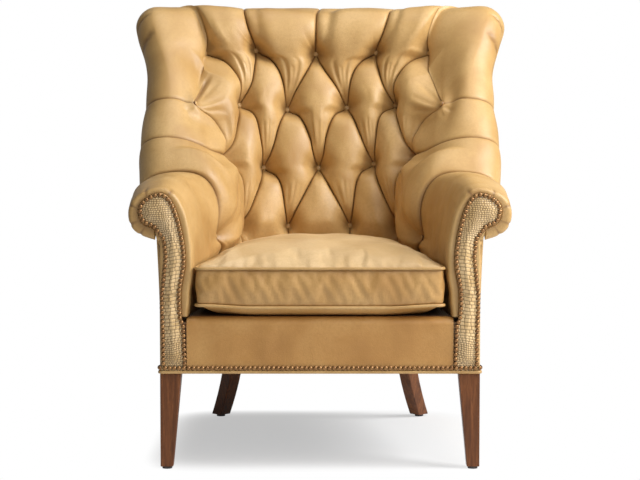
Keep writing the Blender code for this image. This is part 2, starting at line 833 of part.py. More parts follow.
# Front panels of the arms
def panel_outline():
    """Outline of the right front panel as (x, height): up its inner edge, round the scroll, down outside."""
    columns = ARM_GRID_COLUMNS
    line, directions = arm_line(1, columns, True, spline)
    edge = line - directions * scroll_inset(columns)[:, None]
    outline = [(PANEL_FOOT_INNER, BASE_Z)]
    outline += [(x, z) for x, _, z in edge]
    tuck = line[-1]
    outline.append((blend(edge[-1][0], PANEL_FOOT_OUTER, 0.55), tuck[2]))
    outline.append((PANEL_FOOT_OUTER, tuck[2] - 0.012))
    outline.append((PANEL_FOOT_OUTER, BASE_Z))
    return outline


def nail_line():
    """Line of nails on the right front panel: inside its edge, waisted down the outer side."""
    columns = np.linspace(4.0, 8.0, 25)
    line, directions = arm_line(1, columns, True, spline)
    inset = scroll_inset(columns) + NAIL_INSET
    edge = line - directions * inset[:, None]
    foot = BASE_Z + BASE_NAIL_RISE + NAIL_WIDTH
    path = [(PANEL_FOOT_INNER + NAIL_INSET, foot), (PANEL_FOOT_INNER + NAIL_INSET + 0.003, DECK_TOP - 0.02)]
    path += [(x, z) for x, _, z in edge]
    drop = edge[-1][2] - BASE_Z
    for share, inset in NAIL_WAIST:
        path.append((PANEL_FOOT_OUTER - inset, edge[-1][2] - share * drop))
    path.append((PANEL_FOOT_OUTER - NAIL_WAIST[-1][1], foot))
    return path


def nail_ring(point, across, outward):
    """Half-round section of a nail strip."""
    ring = []
    for angle in np.radians([0, 45, 90, 135, 180]):
        wide = math.cos(angle) * NAIL_WIDTH / 2
        high = math.sin(angle) * NAIL_HEIGHT
        ring.append(point + across * wide + outward * (GAP + high))
    return ring


def path_directions(path, closed):
    path = np.asarray(path, float)
    if closed:
        ahead = np.roll(path, -1, axis=0)
        behind = np.roll(path, 1, axis=0)
    else:
        ahead = np.concatenate([path[1:], path[-1:]])
        behind = np.concatenate([path[:1], path[:-1]])
    return unit(ahead - behind)


def build_arm_fronts(word, side):
    outline = mirrored(panel_outline(), side)
    panel = front_prism(word + "_arm_front_panel", outline, 0, FRONT_COVER, EMBOSSED)
    path = mirrored(nail_line(), side)
    outward = np.array([0, -1.0, 0])
    rings = []
    for (x, z), (run, climb) in zip(path, path_directions(path, False)):
        rings.append(nail_ring(np.array([x, 0, z]), np.array([climb, 0, -run]), outward))
    loft(word + "_arm_nail_strip", rings, BRONZE, roughness=0.35, metallic=1.0)
    return panel


# Outside panels: from the base up to where the rolls are tucked in
def side_line(depth, inset):
    """x of the base's side at a depth, measured in from the leather."""
    return FRONT_HALF_WIDTH - SIDE_SLOPE * depth - inset


def corner_arc(count):
    """Plan points round the rear corner, from the side to the back."""
    slope = math.atan(SIDE_SLOPE)
    radius = REAR_CORNER_RADIUS
    depth = BASE_DEPTH - radius
    centre_x = side_line(depth, 0) - radius / math.cos(slope)
    turns = np.linspace(slope, math.pi / 2, count)
    return [(centre_x + radius * math.cos(turn), depth + radius * math.sin(turn)) for turn in turns]


def plan_path(points, shares):
    """Points at shares of the length of a plan line."""
    points = np.asarray(points, float)
    length = np.concatenate([[0], np.cumsum(np.linalg.norm(np.diff(points, axis=0), axis=1))])
    return np.stack([np.interp(np.array(shares) * length[-1], length, points[:, k]) for k in (0, 1)], -1)


def past_tuck(before, edge):
    """The tucked edge of a roll's leather, moved on round the roll by the panel's gap."""
    return edge + unit(edge - before) * TUCK_GAP


def tuck_side():
    """Top edge of the side panel, from the arm's front up to the ear."""
    points = []
    for share in np.linspace(1, 0.0012, 7):
        before, edge = arm_line(share, np.array([7.9, 8.0]), True, spline)[0]
        points.append(past_tuck(before, edge))
    rows = np.concatenate([np.linspace(LAST_ROW - 0.25, 1, 12), np.linspace(0.75, EAR_SEAM_ROW, 6)])
    outer = np.full(len(rows), 8.0)
    points += list(past_tuck(leather_base(outer - 0.1, rows), leather_base(outer, rows)))
    return np.array(points)


def tuck_back():
    """Top edge of the back panel, from the left ear to the right."""
    rows = np.array([EAR_SEAM_ROW - 0.12, -1.0, -1.5])
    outer = np.full(len(rows), 8.0)
    ear = past_tuck(leather_base(outer - 0.1, rows), leather_base(outer, rows))
    columns = np.linspace(-7.7, 7.7, 23)
    tuck = np.full(len(columns), -2.0)
    middle = past_tuck(leather_base(columns, tuck + 0.1), leather_base(columns, tuck))
    return np.concatenate([mirrored(ear, -1), middle, ear[::-1]])


def panel_grid(foot, top):
    """Outer face of an outside panel: upright along the rail, then bending out to the tuck."""
    rows = [[(x, depth, BASE_Z) for x, depth in foot]]
    bend = np.array([(x, depth, RAIL_TOP - 0.02) for x, depth in foot])
    rows.append(bend)
    pull = bend.copy()
    pull[:, 2] += (top[:, 2] - bend[:, 2]) * 0.4
    for share in (0.25, 0.5, 0.75, 1.0):
        rows.append((1 - share) ** 2 * bend + 2 * share * (1 - share) * pull + share**2 * top)
    return np.stack([np.array(row) for row in rows], axis=1)


def inward_directions(outer, inside):
    """Directions in which an outside panel has its thickness: its normals at the foot, one mean above."""
    normals = grid_normals(outer)
    normals *= np.sign(normals[len(outer) // 2, 0] @ np.array(inside))
    mean = unit(normals[:, 2:].mean(axis=(0, 1)))
    share = np.array([0.0, 0.0, 0.5, 1.0, 1.0, 1.0])[None, :, None]
    return unit(blend(normals, mean, share))


def share_corner(face, directions, corner):
    """Turn a panel's directions, towards its last edge, to the one it shares with its neighbour there."""
    for row in range(face.shape[1]):
        away = travelled(face[::-1, row])[::-1]
        share = smooth(1 - away / CORNER_EASE)[:, None]
        directions[:, row] = unit(blend(directions[:, row], corner[row], share))


def build_outside_panels():
    arc = corner_arc(9)
    arm_depth = FRONT_COVER + GAP
    side_points = [(side_line(arm_depth, 0), arm_depth)] + arc[:5]
    top = tuck_side()
    travel = (top[:, 1] - top[0, 1]) / (top[-1, 1] - top[0, 1])
    travel = np.maximum.accumulate(np.clip(travel, 0, 1))
    travel = blend(travel, np.linspace(0, 1, len(top)), 0.15)
    foot = plan_path(side_points, travel * 0.9985)
    top[0, 1] = foot[0, 1]
    side_face = panel_grid(foot, top)
    side_inward = inward_directions(side_face, (-1.0, 0, 0))
    top = tuck_back()
    half = arc[4:] + [(0, BASE_DEPTH)]
    plan = [(-x, depth) for x, depth in half] + half[-2::-1]
    travel = travelled(top) / travelled(top)[-1]
    foot = plan_path(plan, 0.0015 + 0.997 * travel)
    back_face = panel_grid(foot, top)
    back_inward = inward_directions(back_face, (0, -1.0, 0))
    corner = unit(side_inward[-1] + back_inward[-1])
    share_corner(side_face, side_inward, corner)
    share_corner(back_face, back_inward, corner)
    share_corner(back_face[::-1], back_inward[::-1], mirrored(corner, -1))
    side_inside = side_face + side_inward * PANEL_THICKNESS
    side_inside[0, :, 1] = side_face[0, :, 1]
    back_inside = back_face + back_inward * PANEL_THICKNESS
    for face, inside in ((side_face, side_inside), (back_face, back_inside)):
        inside[:, 0, 2] = face[:, 0, 2]
    drop = side_inward * SEAM
    for word, side in (("left", -1), ("right", 1)):
        outer = mirrored(side_face + drop, side)
        shell(word + "_outside_panel", outer, mirrored(side_inside + drop, side), LEATHER)
    drop = back_inward * SEAM
    shell("outside_back_panel", back_face + drop, back_inside + drop, LEATHER)


# Frame
def build_rails():
    front = FRONT_COVER + GAP
    post_inner = SEAT_HALF_FRONT + ARM_PAD_THICKNESS + SEAM
    half = post_inner - GAP
    box = [(-half, front), (half, front), (half, front + RAIL_THICKNESS), (-half, front + RAIL_THICKNESS)]
    plan_prism("front_rail", box, BASE_Z, RAIL_TOP, BEECH)
    post_back = front + POST_DEPTH
    outer_x = side_line(post_back, PANEL_THICKNESS + 3 * GAP + SEAM)
    slope_top = ARM_ROLL_HEIGHT - ROLL_RAIL_RADIUS - 0.014
    waist = DECK_TOP + LOW_ROW_ABOVE_DECK - 0.035
    outline = [
        (post_inner, BASE_Z),
        (outer_x, BASE_Z),
        (outer_x, slope_top),
        (blend(post_inner, outer_x, 0.75), slope_top),
        (post_inner + 0.004, waist),
    ]
    rear = back_post_plan()
    inset = PANEL_THICKNESS + SEAM + GAP
    start = post_back + GAP
    end = rear[0][1] - GAP
    for word, side in (("left", -1), ("right", 1)):
        front_prism(word + "_front_post", mirrored(outline, side), front, post_back, BEECH)
        beam = [
            (side_line(start, inset), start),
            (side_line(end, inset), end),
            (side_line(end, inset + RAIL_THICKNESS), end),
            (side_line(start, inset + RAIL_THICKNESS), start),
        ]
        plan_prism(word + "_side_rail", mirrored(beam, side), BASE_Z, RAIL_TOP, BEECH)
    back = BASE_DEPTH - PANEL_THICKNESS - SEAM - GAP
    half = rear[0][0] - GAP
    box = [(-half, back - RAIL_THICKNESS), (half, back - RAIL_THICKNESS), (half, back), (-half, back)]
    plan_prism("back_rail", box, BASE_Z, RAIL_TOP, BEECH)


def back_post_plan():
    """Plan of the right back post's foot, from its inner front corner round."""
    depth = BASE_DEPTH - PANEL_THICKNESS - 0.022
    outer = side_line(depth, PANEL_THICKNESS + 0.016)
    inner = outer - BACK_POST_SIDE
    front = depth - BACK_POST_SIDE
    return [(inner, front), (outer, front), (outer, depth), (inner, depth)]


def build_back_posts():
    top = top_centre(2.8)
    half_x = BACK_POST_SIDE * 0.37
    half_depth = BACK_POST_SIDE * 0.26
    lowest = min(point[2] for point in rail_ring(top, np.array([0, 1.0, 0]), np.array([0, 0, 1.0]), TOP_TUCK))
    depth = top[1] - 0.011
    head = [(top[0] - half_x, depth - half_depth), (top[0] + half_x, depth - half_depth)]
    head += [(top[0] + half_x, depth + half_depth), (top[0] - half_x, depth + half_depth)]
    low = np.array([(x, d, BASE_Z) for x, d in back_post_plan()])
    high = np.array([(x, d, lowest - SEAM) for x, d in head])
    knee = blend(low, high, 0.2)
    knee[:, 2] = blend(low[:, 2], high[:, 2], 0.36)
    for word, side in (("left", -1), ("right", 1)):
        loft(word + "_back_post", [mirrored(ring, side) for ring in (low, knee, high)], BEECH)


def rail_ring(centre, out, crest, tuck):
    """Section of a round rail whose flats match the inner faces of the pad round it."""
    angles = list(roll_angles(tuck))
    gap = 2 * math.pi - (angles[-1] - angles[0])
    angles += [angles[-1] + gap / 3, angles[-1] + 2 * gap / 3]
    return roll_points(centre, ROLL_RAIL_RADIUS, out, crest, angles)


def build_roll_rails():
    back = np.array([0, 1.0, 0])
    up = np.array([0, 0, 1.0])
    columns = range(-LAST_COLUMN, LAST_COLUMN + 1)
    rings = [rail_ring(top_centre(column), back, up, TOP_TUCK) for column in columns]
    loft("crest_rail", rings, BEECH)
    frames = wing_frames()
    for word, side in (("left", -1), ("right", 1)):
        rings = []
        for station, (out, crest) in zip(WING_STATIONS, frames):
            rings.append(rail_ring(wing_centre(station), out, crest, station[6]))
        tangent = unit(rings[1][0] - rings[0][0])
        rings[0] = rings[0] + tangent * SEAM
        loft(word + "_wing_rail", [mirrored(ring, side) for ring in rings], BEECH)
        rings = []
        for share in (0.0, 0.5, 1.0):
            centre = blend(wing_centre(WING_STATIONS[0]), arm_front_centre(), share)
            out = unit(blend(frames[0][0], (1, 0, 0), share))
            crest = unit(blend(frames[0][1], (0, 0, 1), share))
            rings.append(rail_ring(centre, out, crest, blend(WING_STATIONS[0][6], ARM_TUCK, share)))
        rings[0] = rings[0] - tangent * SEAM
        loft(word + "_arm_rail", [mirrored(ring, side) for ring in rings], BEECH)


def build_corner_blocks():
    front = FRONT_COVER + GAP
    inset = PANEL_THICKNESS + SEAM + 2 * GAP + RAIL_THICKNESS
    rail_back = front + RAIL_THICKNESS + GAP
    post_back = front + POST_DEPTH + GAP
    post_inner = SEAT_HALF_FRONT + ARM_PAD_THICKNESS - GAP
    reach = post_back + BLOCK_LENGTH * 0.8
    rear = back_post_plan()
    rear_front = rear[0][1] - GAP
    rear_start = rear_front - BLOCK_LENGTH
    for word, side in (("left", -1), ("right", 1)):
        block = [
            (post_inner, rail_back),
            (post_inner - BLOCK_LENGTH * 0.8, rail_back),
            (side_line(reach, inset), reach),
            (side_line(post_back, inset), post_back),
            (post_inner, post_back),
        ]
        plan_prism(word + "_front_corner_block", mirrored(block, side), BASE_Z, BASE_Z + BLOCK_HEIGHT, BEECH)
        block = [
            (side_line(rear_start, inset), rear_start),
            (side_line(rear_front, inset), rear_front),
            (side_line(rear_front, inset) - BLOCK_LENGTH, rear_front),
        ]
        plan_prism(word + "_rear_corner_block", mirrored(block, side), BASE_Z, BASE_Z + BLOCK_HEIGHT, BEECH)


# Seat
def build_deck():
    front = FRONT_COVER + BORDER_LAP + SEAM
    post_back = FRONT_COVER + POST_DEPTH + 0.010
    inner = SEAT_HALF_FRONT + ARM_PAD_THICKNESS - 0.004
    inset = PANEL_THICKNESS + RAIL_THICKNESS * 0.6
    rear = back_post_plan()
    rear_front = rear[0][1] - 0.006
    rear_inner = rear[0][0] - 0.006
    rear_end = BASE_DEPTH - PANEL_THICKNESS - 0.006
    half = [
        (inner, front),
        (inner, post_back),
        (side_line(post_back, inset), post_back),
        (side_line(rear_front, inset), rear_front),
        (rear_inner, rear_front),
        (rear_inner, rear_end),
    ]
    outline = half + [(-x, depth) for x, depth in half[::-1]]
    plan_prism("seat_deck", outline, RAIL_TOP + GAP, DECK_TOP, CANVAS, 0.9)
    start = FRONT_COVER + POST_DEPTH + 0.004
    end = REAR_LEG_DEPTH - REAR_LEG_SIDE
    cover = [(side_line(start, 0.02), start), (side_line(end, 0.02), end)]
    cover += [(-x, depth) for x, depth in cover[::-1]]
    plan_prism("dust_cover", cover, LEG_HEIGHT - DUST_COVER_THICKNESS, LEG_HEIGHT, CAMBRIC, 0.95)


def build_springs():
    start = FRONT_COVER + RAIL_THICKNESS + 3 * GAP
    end = BASE_DEPTH - PANEL_THICKNESS - RAIL_THICKNESS - SEAM - 3 * GAP
    height = RAIL_TOP - 2 * SPRING_WIRE
    turns = np.linspace(0, 1, 6 * SPRING_LOOPS + 1)
    reach = back_post_plan()[0][0] - SPRING_SWING - SPRING_CLEARANCE
    for k in range(SPRING_COUNT):
        middle = reach * (2 * k / (SPRING_COUNT - 1) - 1)
        swing = SPRING_SWING * np.sin(2 * np.pi * SPRING_LOOPS * turns)
        run = np.concatenate([[0], 0.02 + 0.96 * turns, [1]])
        swing = np.concatenate([[0], swing, [0]])
        curve = bpy.data.curves.new("spring_line", "CURVE")
        curve.dimensions = "3D"
        curve.bevel_depth = SPRING_WIRE
        curve.bevel_resolution = 0
        curve.use_fill_caps = True
        line = curve.splines.new("POLY")
        line.points.add(len(run) - 1)
        for point, side_step, share in zip(line.points, swing, run):
            point.co = (middle + side_step, start + share * (end - start), height, 1)
        source = bpy.data.objects.new("spring_line", curve)
        PARTS.objects.link(source)
        bpy.context.view_layer.update()
        mesh = source.to_mesh()
        bm = bmesh.new()
        bm.from_mesh(mesh)
        source.to_mesh_clear()
        bpy.data.objects.remove(source, do_unlink=True)
        bmesh.ops.remove_doubles(bm, verts=bm.verts[:], dist=1e-6)
        add_part(f"seat_spring_{k + 1}", bm, STEEL, 0.35, 1.0)


def build_front_border():
    half = PANEL_FOOT_INNER - SEAM
    top = DECK_TOP - GAP
    section = [(0.0, BASE_Z), (0.0, top - BORDER_ROUND)]
    for angle in np.radians([30, 60, 90]):
        turned = BORDER_ROUND * (1 - math.cos(angle))
        section.append((turned, top - BORDER_ROUND * (1 - math.sin(angle))))
    section.append((FRONT_COVER + BORDER_LAP, top))
    section.append((FRONT_COVER + BORDER_LAP, RAIL_TOP + GAP))
    section.append((FRONT_COVER, RAIL_TOP + GAP))
    section.append((FRONT_COVER, BASE_Z))
    rings = [[(x, depth, z) for depth, z in section] for x in (-half, half)]
    loft("front_border", rings, LEATHER, roughness=0.45)


def build_base_nails():
    """Nail strip round the foot of the base: front, sides and back in one loop."""
    arc = corner_arc(9)
    height = BASE_Z + BASE_NAIL_RISE
    edge = SEAM
    half = [(0, 0), (PANEL_FOOT_INNER, 0), (FRONT_HALF_WIDTH - edge, 0), (FRONT_HALF_WIDTH, edge)]
    half += [(side_line(share * BASE_DEPTH, 0), share * BASE_DEPTH) for share in (0.28, 0.63)] + arc
    path = half + [(0, BASE_DEPTH)] + [(-x, depth) for x, depth in half[:0:-1]]
    path = np.array(path)
    rings = []
    for (x, depth), (run, climb) in zip(path, path_directions(path, True)):
        outward = np.array([climb, -run, 0])
        rings.append(nail_ring(np.array([x, depth, height]), np.array([0, 0, 1.0]), outward))
    loft("base_nail_strip", rings, BRONZE, closed=True, roughness=0.35, metallic=1.0)


# Seat cushion
def cushion_outline():
    """Plan of the loose cushion, kept clear of the arms and of the back's lower edge."""
    half = []
    for share in (1.0, 0.92, 0.75, 0.5, 0.25, 0.04):
        face = arm_section(share, True)[0][2]
        reach = ARM_PUFF + CUSHION_CLEARANCE + PLEAT_RISE * 0.5 * (1 - share)
        half.append((face[0] - reach, face[1]))
    for column in (4.5, 4.0, 3.5, 3.0, 2.25, 1.5, 0.75):
        reach = LOW_PUFF + PLEAT_RISE + CUSHION_CLEARANCE * (1 + max(0, column - 3))
        point = field_point(column, LAST_ROW) + field_normal(column, LAST_ROW) * reach
        half.append((point[0], point[1]))
    corner_x = half[0][0]
    front = [(0, CUSHION_FRONT), (corner_x * 0.33, CUSHION_FRONT), (corner_x * 0.66, CUSHION_FRONT)]
    front += [(corner_x - 0.020, CUSHION_FRONT), (corner_x - 0.006, CUSHION_FRONT + 0.003)]
    back_middle = (0, back_depth(LAST_ROW) - LOW_PUFF - PLEAT_RISE - CUSHION_CLEARANCE)
    right = front + [(corner_x, CUSHION_FRONT + 0.014)] + half[1:] + [back_middle]
    left = [(-x, depth) for x, depth in right[-2:0:-1]]
    return np.array(right + left)


def cushion_ring(outline, scale, height, bulge=0.0):
    middle = np.array([0, (outline[:, 1].max() + outline[:, 1].min()) / 2])
    normal = path_directions(outline, True)[:, ::-1] * np.array([1, -1])
    flat = middle + (outline - middle) * scale + normal * bulge
    return np.concatenate([flat, np.full((len(flat), 1), height)], axis=1)


def build_cushion():
    outline = cushion_outline()
    bottom = DECK_TOP + SEAM
    low = DECK_TOP + CUSHION_EDGE_LOW
    high = DECK_TOP + CUSHION_EDGE_HIGH
    profile = [(0.25, bottom, 0), (0.8, bottom, 0), (0.93, bottom + 0.004, 0), (0.975, bottom + 0.012, 0)]
    profile += [(1, low, 0)]
    profile += [(1, blend(low, high, 0.3), CUSHION_BELLY), (1, blend(low, high, 0.7), CUSHION_BELLY)]
    profile += [(1, high, 0)]
    for scale in (0.97, 0.91, 0.82, 0.7, 0.55, 0.38, 0.2):
        profile.append((scale, high + CUSHION_CROWN * (1 - scale**3.2) ** 0.75, 0))
    rings = [cushion_ring(outline, scale, height, bulge) for scale, height, bulge in profile]
    cushion = loft("seat_cushion", rings, LEATHER, roughness=0.45)
    normal = path_directions(outline, True)[:, ::-1] * np.array([1, -1])
    reach = WELT_RADIUS + GAP
    for word, height, sign in (("top", high, 1), ("bottom", low, -1)):
        rings = []
        for point, out in zip(outline, normal):
            out = np.array([out[0], out[1], 0])
            up = np.array([0, 0, 1.0])
            centre = np.array([point[0], point[1], height]) + (out * 0.8 + up * sign * 0.6) * reach
            turns = np.radians(np.arange(0, 360, 60))
            rings.append([centre + WELT_RADIUS * (math.cos(t) * out + math.sin(t) * up) for t in turns])
        loft("cushion_" + word + "_welt", rings, WELT, closed=True, roughness=0.45)
    return cushion


# Legs
def square_ring(x, depth, z, half, turn):
    ring = []
    for k in range(4):
        angle = turn + math.pi / 4 + k * math.pi / 2
        reach = half * math.sqrt(2)
        ring.append((x + reach * math.cos(angle), depth + reach * math.sin(angle), z))
    return ring


def add_glide(name, x, depth):
    bm = bmesh.new()
    bmesh.ops.create_cone(
        bm, cap_ends=True, segments=20, radius1=GLIDE_RADIUS, radius2=GLIDE_RADIUS, depth=GLIDE_HEIGHT
    )
    bmesh.ops.translate(bm, verts=bm.verts[:], vec=(x, depth, GLIDE_HEIGHT / 2))
    add_part(name, bm, NYLON, 0.5)


def build_legs():
    foot = GLIDE_HEIGHT + GAP
    outer = FRONT_HALF_WIDTH - 0.002
    front = 0.005
    for word, side in (("left", -1), ("right", 1)):
        rings = []
        for height, width in ((foot, FRONT_LEG_FOOT), (LEG_HEIGHT, FRONT_LEG_TOP)):
            rings.append(square_ring(side * (outer - width / 2), front + width / 2, height, width / 2, 0))
        leg = loft(word + "_front_leg", rings, WALNUT, roughness=0.35)
        add_bevel(leg, 0.0015)
        centre = FRONT_LEG_FOOT / 2
        add_glide(word + "_front_glide", side * (outer - centre), front + centre)
        rings = []
        heading = unit(np.array([0.39, 0.92]))
        for share in np.linspace(0, 1, 8):
            height = blend(foot, LEG_HEIGHT, share)
            sweep = REAR_LEG_SPLAY * (1 - share) ** 1.6
            half = REAR_LEG_SIDE / 2 * blend(0.95, 1.0, share)
            x = REAR_LEG_X + heading[0] * sweep
            depth = REAR_LEG_DEPTH + heading[1] * sweep
            rings.append(square_ring(side * x, depth, height, half, math.pi / 4))
        leg = loft(word + "_rear_leg", rings, WALNUT, roughness=0.35)
        add_bevel(leg, 0.0015)
        x, depth = np.array([REAR_LEG_X, REAR_LEG_DEPTH]) + heading * REAR_LEG_SPLAY
        add_glide(word + "_rear_glide", side * x, depth)


def centre_over_floor():
    """Shift every part so the chair's middle stands over the origin."""
    bpy.context.view_layer.update()
    depths = [(part.matrix_world @ vertex.co).y for part in PARTS.objects for vertex in part.data.vertices]
    shift = -(min(depths) + max(depths)) / 2
    for part in PARTS.objects:
        for vertex in part.data.vertices:
            vertex.co.y += shift
    return shift


def place_origin(part):
    """Put a moving part's origin at the middle of its underside."""
    corners = np.array([vertex.co[:] for vertex in part.data.vertices])
    origin = np.array([0, (corners[:, 1].min() + corners[:, 1].max()) / 2, corners[:, 2].min()])
    for vertex in part.data.vertices:
        vertex.co = np.array(vertex.co[:]) - origin
    part.location = origin


build_back_pads()
for word, side in (("left", -1), ("right", 1)):
    build_arm_pad(word, side)
    build_arm_fronts(word, side)
build_outside_panels()
build_rails()
build_back_posts()
build_roll_rails()
build_corner_blocks()
build_deck()
build_springs()
build_front_border()
build_base_nails()
seat_cushion = build_cushion()
build_legs()
centre_over_floor()
place_origin(seat_cushion)
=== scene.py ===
"""Looks of the wingback chair: tufted leather, embossed arm fronts, nail heads, cushion and walnut legs.

Shapes are laid out as (x, depth behind the front plane, height) in metres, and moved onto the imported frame
when they become pieces. "Left" is the left seen from the front, at -X.
"""

import math

import bmesh
import bpy
import numpy as np
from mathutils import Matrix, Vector
from mathutils.geometry import delaunay_2d_cdt


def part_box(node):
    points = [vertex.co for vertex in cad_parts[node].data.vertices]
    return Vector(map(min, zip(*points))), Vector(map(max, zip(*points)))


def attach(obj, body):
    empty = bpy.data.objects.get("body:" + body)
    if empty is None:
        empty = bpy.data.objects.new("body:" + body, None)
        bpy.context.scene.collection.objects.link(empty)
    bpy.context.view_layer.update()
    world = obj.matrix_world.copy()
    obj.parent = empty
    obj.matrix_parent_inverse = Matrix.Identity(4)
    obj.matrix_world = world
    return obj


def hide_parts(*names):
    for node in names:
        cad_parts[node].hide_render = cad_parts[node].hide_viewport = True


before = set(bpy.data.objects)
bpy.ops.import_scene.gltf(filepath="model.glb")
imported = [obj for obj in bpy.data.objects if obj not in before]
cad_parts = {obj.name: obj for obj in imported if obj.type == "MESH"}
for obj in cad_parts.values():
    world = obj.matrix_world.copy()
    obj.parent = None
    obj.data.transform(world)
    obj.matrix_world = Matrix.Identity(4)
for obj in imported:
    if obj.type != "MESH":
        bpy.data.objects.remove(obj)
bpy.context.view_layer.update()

# Sizes of the solids that the looks are built on
GAP = 0.0003
SEAM = 0.0005
LEG_HEIGHT = 0.214
FRONT_HALF_WIDTH = 0.357
REAR_HALF_WIDTH = 0.262
BASE_DEPTH = 0.715
REAR_CORNER_RADIUS = 0.05
RAIL_HEIGHT = 0.1135
DECK_THICKNESS = 0.012
FRONT_COVER = 0.012
TUCK_GAP = 0.0030
LAST_ROW = 4
LAST_COLUMN = 5
LOW_ROW_ABOVE_DECK = 0.165
ROW_PITCH = 0.147
COLUMN_PITCH = 0.0775
BACK_DEPTH = 0.605
RECLINE = math.radians(11.6)
SEAT_HALF_REAR = 0.256
SIDE_FLARE = 0.030
WRAP = 0.205
WRAP_LOSS = 0.040
PUFF = 0.046
LOW_PUFF = 0.022
ROLL_PUFF = 0.006
PLEAT_RISE = 0.012
BUTTON_SINK = 0.010
BUTTON_REACH = 0.022
PAD_THICKNESS = 0.030
SIDE_PLEAT_LIFT = {4: -0.008, 3: 0.048, 2: 0.016, 1: 0.0}
# A wing station is (row, roll centre x, forward of the back, above the row, radius, fullness of its inner
# side, angle at which its leather is tucked in)
WING_STATIONS = (
    (4, 0.374, 0.220, 0.096, 0.057, 1.6, 255),
    (3, 0.380, 0.170, 0.048, 0.055, 1.4, 245),
    (2, 0.377, 0.120, 0.026, 0.050, 1.15, 238),
    (1, 0.386, 0.0835, -0.011, 0.050, 1.0, 232),
)
ROLL_START = 35
EAR_START = 65
EAR_SEAM_ROW = -0.5
ROLL_HOLLOW = 0.0245
TOP_ROLL_RADIUS = 0.052
TOP_ROLL_RISE = 0.059
TOP_ROLL_SETBACK = 0.0425
TOP_ROLL_BOW = 0.053
TOP_TUCK = 225
EAR_X = 0.412
EAR_FORWARD = 0.076
EAR_TURN = 14.2
SEAT_HALF_FRONT = 0.2875
ARM_ROLL_X = 0.367
ARM_ROLL_HEIGHT = 0.568
ARM_ROLL_RADIUS = 0.057
ARM_FULLNESS = 1.09
ARM_TUCK = 272
ARM_PAD_THICKNESS = 0.021
ARM_PUFF = 0.006
ARM_EDGE = 0.009
SCROLL_INSET = (0.010, 0.013, 0.026, 0.027)
PANEL_FOOT_INNER = 0.296
NAIL_WIDTH = 0.0095
NAIL_INSET = 0.004
# The outer nails' line below the scroll, as (share of the way down, distance in from the panel's edge)
NAIL_WAIST = (
    (0.09, 0.0105),
    (0.21, 0.0145),
    (0.32, 0.0105),
    (0.41, 0.0075),
    (0.46, 0.0050),
    (0.56, 0.0050),
    (0.75, 0.0075),
)
BASE_NAIL_RISE = 0.013
CUSHION_FRONT = -0.002
CUSHION_CLEARANCE = 0.009
CUSHION_EDGE_LOW = 0.024
CUSHION_EDGE_HIGH = 0.106
CUSHION_CROWN = 0.056
CUSHION_BELLY = 0.005
WELT_RADIUS = 0.0035

BASE_Z = LEG_HEIGHT + GAP
RAIL_TOP = BASE_Z + RAIL_HEIGHT
DECK_TOP = RAIL_TOP + GAP + DECK_THICKNESS
PAD_FOOT = DECK_TOP + SEAM
BOTTOM_ROW = LAST_ROW + (LOW_ROW_ABOVE_DECK - SEAM) / ROW_PITCH
SIDE_SLOPE = (FRONT_HALF_WIDTH - REAR_HALF_WIDTH) / BASE_DEPTH
PANEL_FOOT_OUTER = FRONT_HALF_WIDTH - SIDE_SLOPE * FRONT_COVER - SEAM
DEPTH_TO_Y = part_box("front_rail")[0][1] - (FRONT_COVER + GAP)

# Tufting of the leather: reaches, widths and depths in metres, the others counts, powers and shares
LATTICE_STEPS = 32
# Column and row at which the rolls' leather is tucked in
TUCK_COLUMN = 8
TUCK_ROW = -2
REACH_ABOVE = 0.072
REACH_BELOW = 0.052
REACH_BESIDE = 0.058
PILLOW_POWER = 1.8
FULLNESS = 0.84
PLEAT_SHARE = 0.45
PIT_REACH = 0.036
SLIT_DEPTH = 0.0045
SLIT_WIDTH = 0.0020
# Width of the painted shade along each pleat
CREASE_SHADE_WIDTH = 0.0019
SHARP_CREASE_WIDTH = 0.0042
SHARP_CREASE_DEPTH = 0.0045
FAN_DEPTH = 0.0013
UNEVEN_DEPTH = 0.0012
# Painted shade in the creases, 0 to 1: where the leather is thin, where it is full, in sharp creases, at
# buttons
THIN_SHADE = 0.5
FULL_SHADE = 0.75
SHARP_SHADE = 0.6
BUTTON_SHADE = 0.4
# How far pleats are bent, in columns, and how far the wing's pleat drops, in rows
PLEAT_BEND = 0.26
TOP_PLEAT_BEND = 0.52
TOP_PLEAT_LEAN = 0.32
WING_PLEAT_DROP = 0.20
SHIFT_REACH = 0.080
# Lesser folds on the right, mirrored on the left, as (start, end, width, depth), ends as (column, row)
WING_FOLDS = (
    ((6.6, -0.3), (7.7, -1.5), 0.005, 0.004),
    ((4.2, 1.66), (4.90, 1.95), 0.007, 0.0026),
    ((4.1, 1.95), (4.85, 1.99), 0.006, 0.0026),
    ((4.2, 2.22), (4.90, 2.04), 0.006, 0.0022),
    ((5.1, 2.05), (5.75, 2.22), 0.005, 0.0022),
    ((5.05, 2.08), (5.35, 2.36), 0.005, 0.0020),
    ((4.5, 3.3), (4.97, 3.92), 0.012, 0.0050),
    ((4.2, 3.6), (4.90, 3.95), 0.008, 0.0030),
)
# How far a button sits from its regular place, as (sideways, up): hand tufting isn't even
BUTTON_SHIFTS = {
    (-4, 1): (-0.003, 0.0),
    (-2, 1): (-0.013, 0.007),
    (0, 1): (-0.012, -0.004),
    (2, 1): (-0.010, 0.0),
    (4, 1): (-0.012, 0.0),
    (-5, 2): (0.004, 0.0),
    (-3, 2): (0.018, 0.015),
    (-1, 2): (-0.008, 0.005),
    (1, 2): (-0.009, 0.010),
    (3, 2): (-0.033, 0.013),
    (5, 2): (-0.011, 0.0),
    (-4, 3): (0.019, 0.002),
    (-2, 3): (0.008, 0.0),
    (0, 3): (-0.004, 0.002),
    (2, 3): (-0.015, 0.011),
    (4, 3): (-0.021, 0.003),
    (-5, 4): (0.017, 0.0),
    (-1, 4): (-0.005, 0.003),
    (1, 4): (-0.001, 0.005),
    (5, 4): (-0.022, -0.004),
}

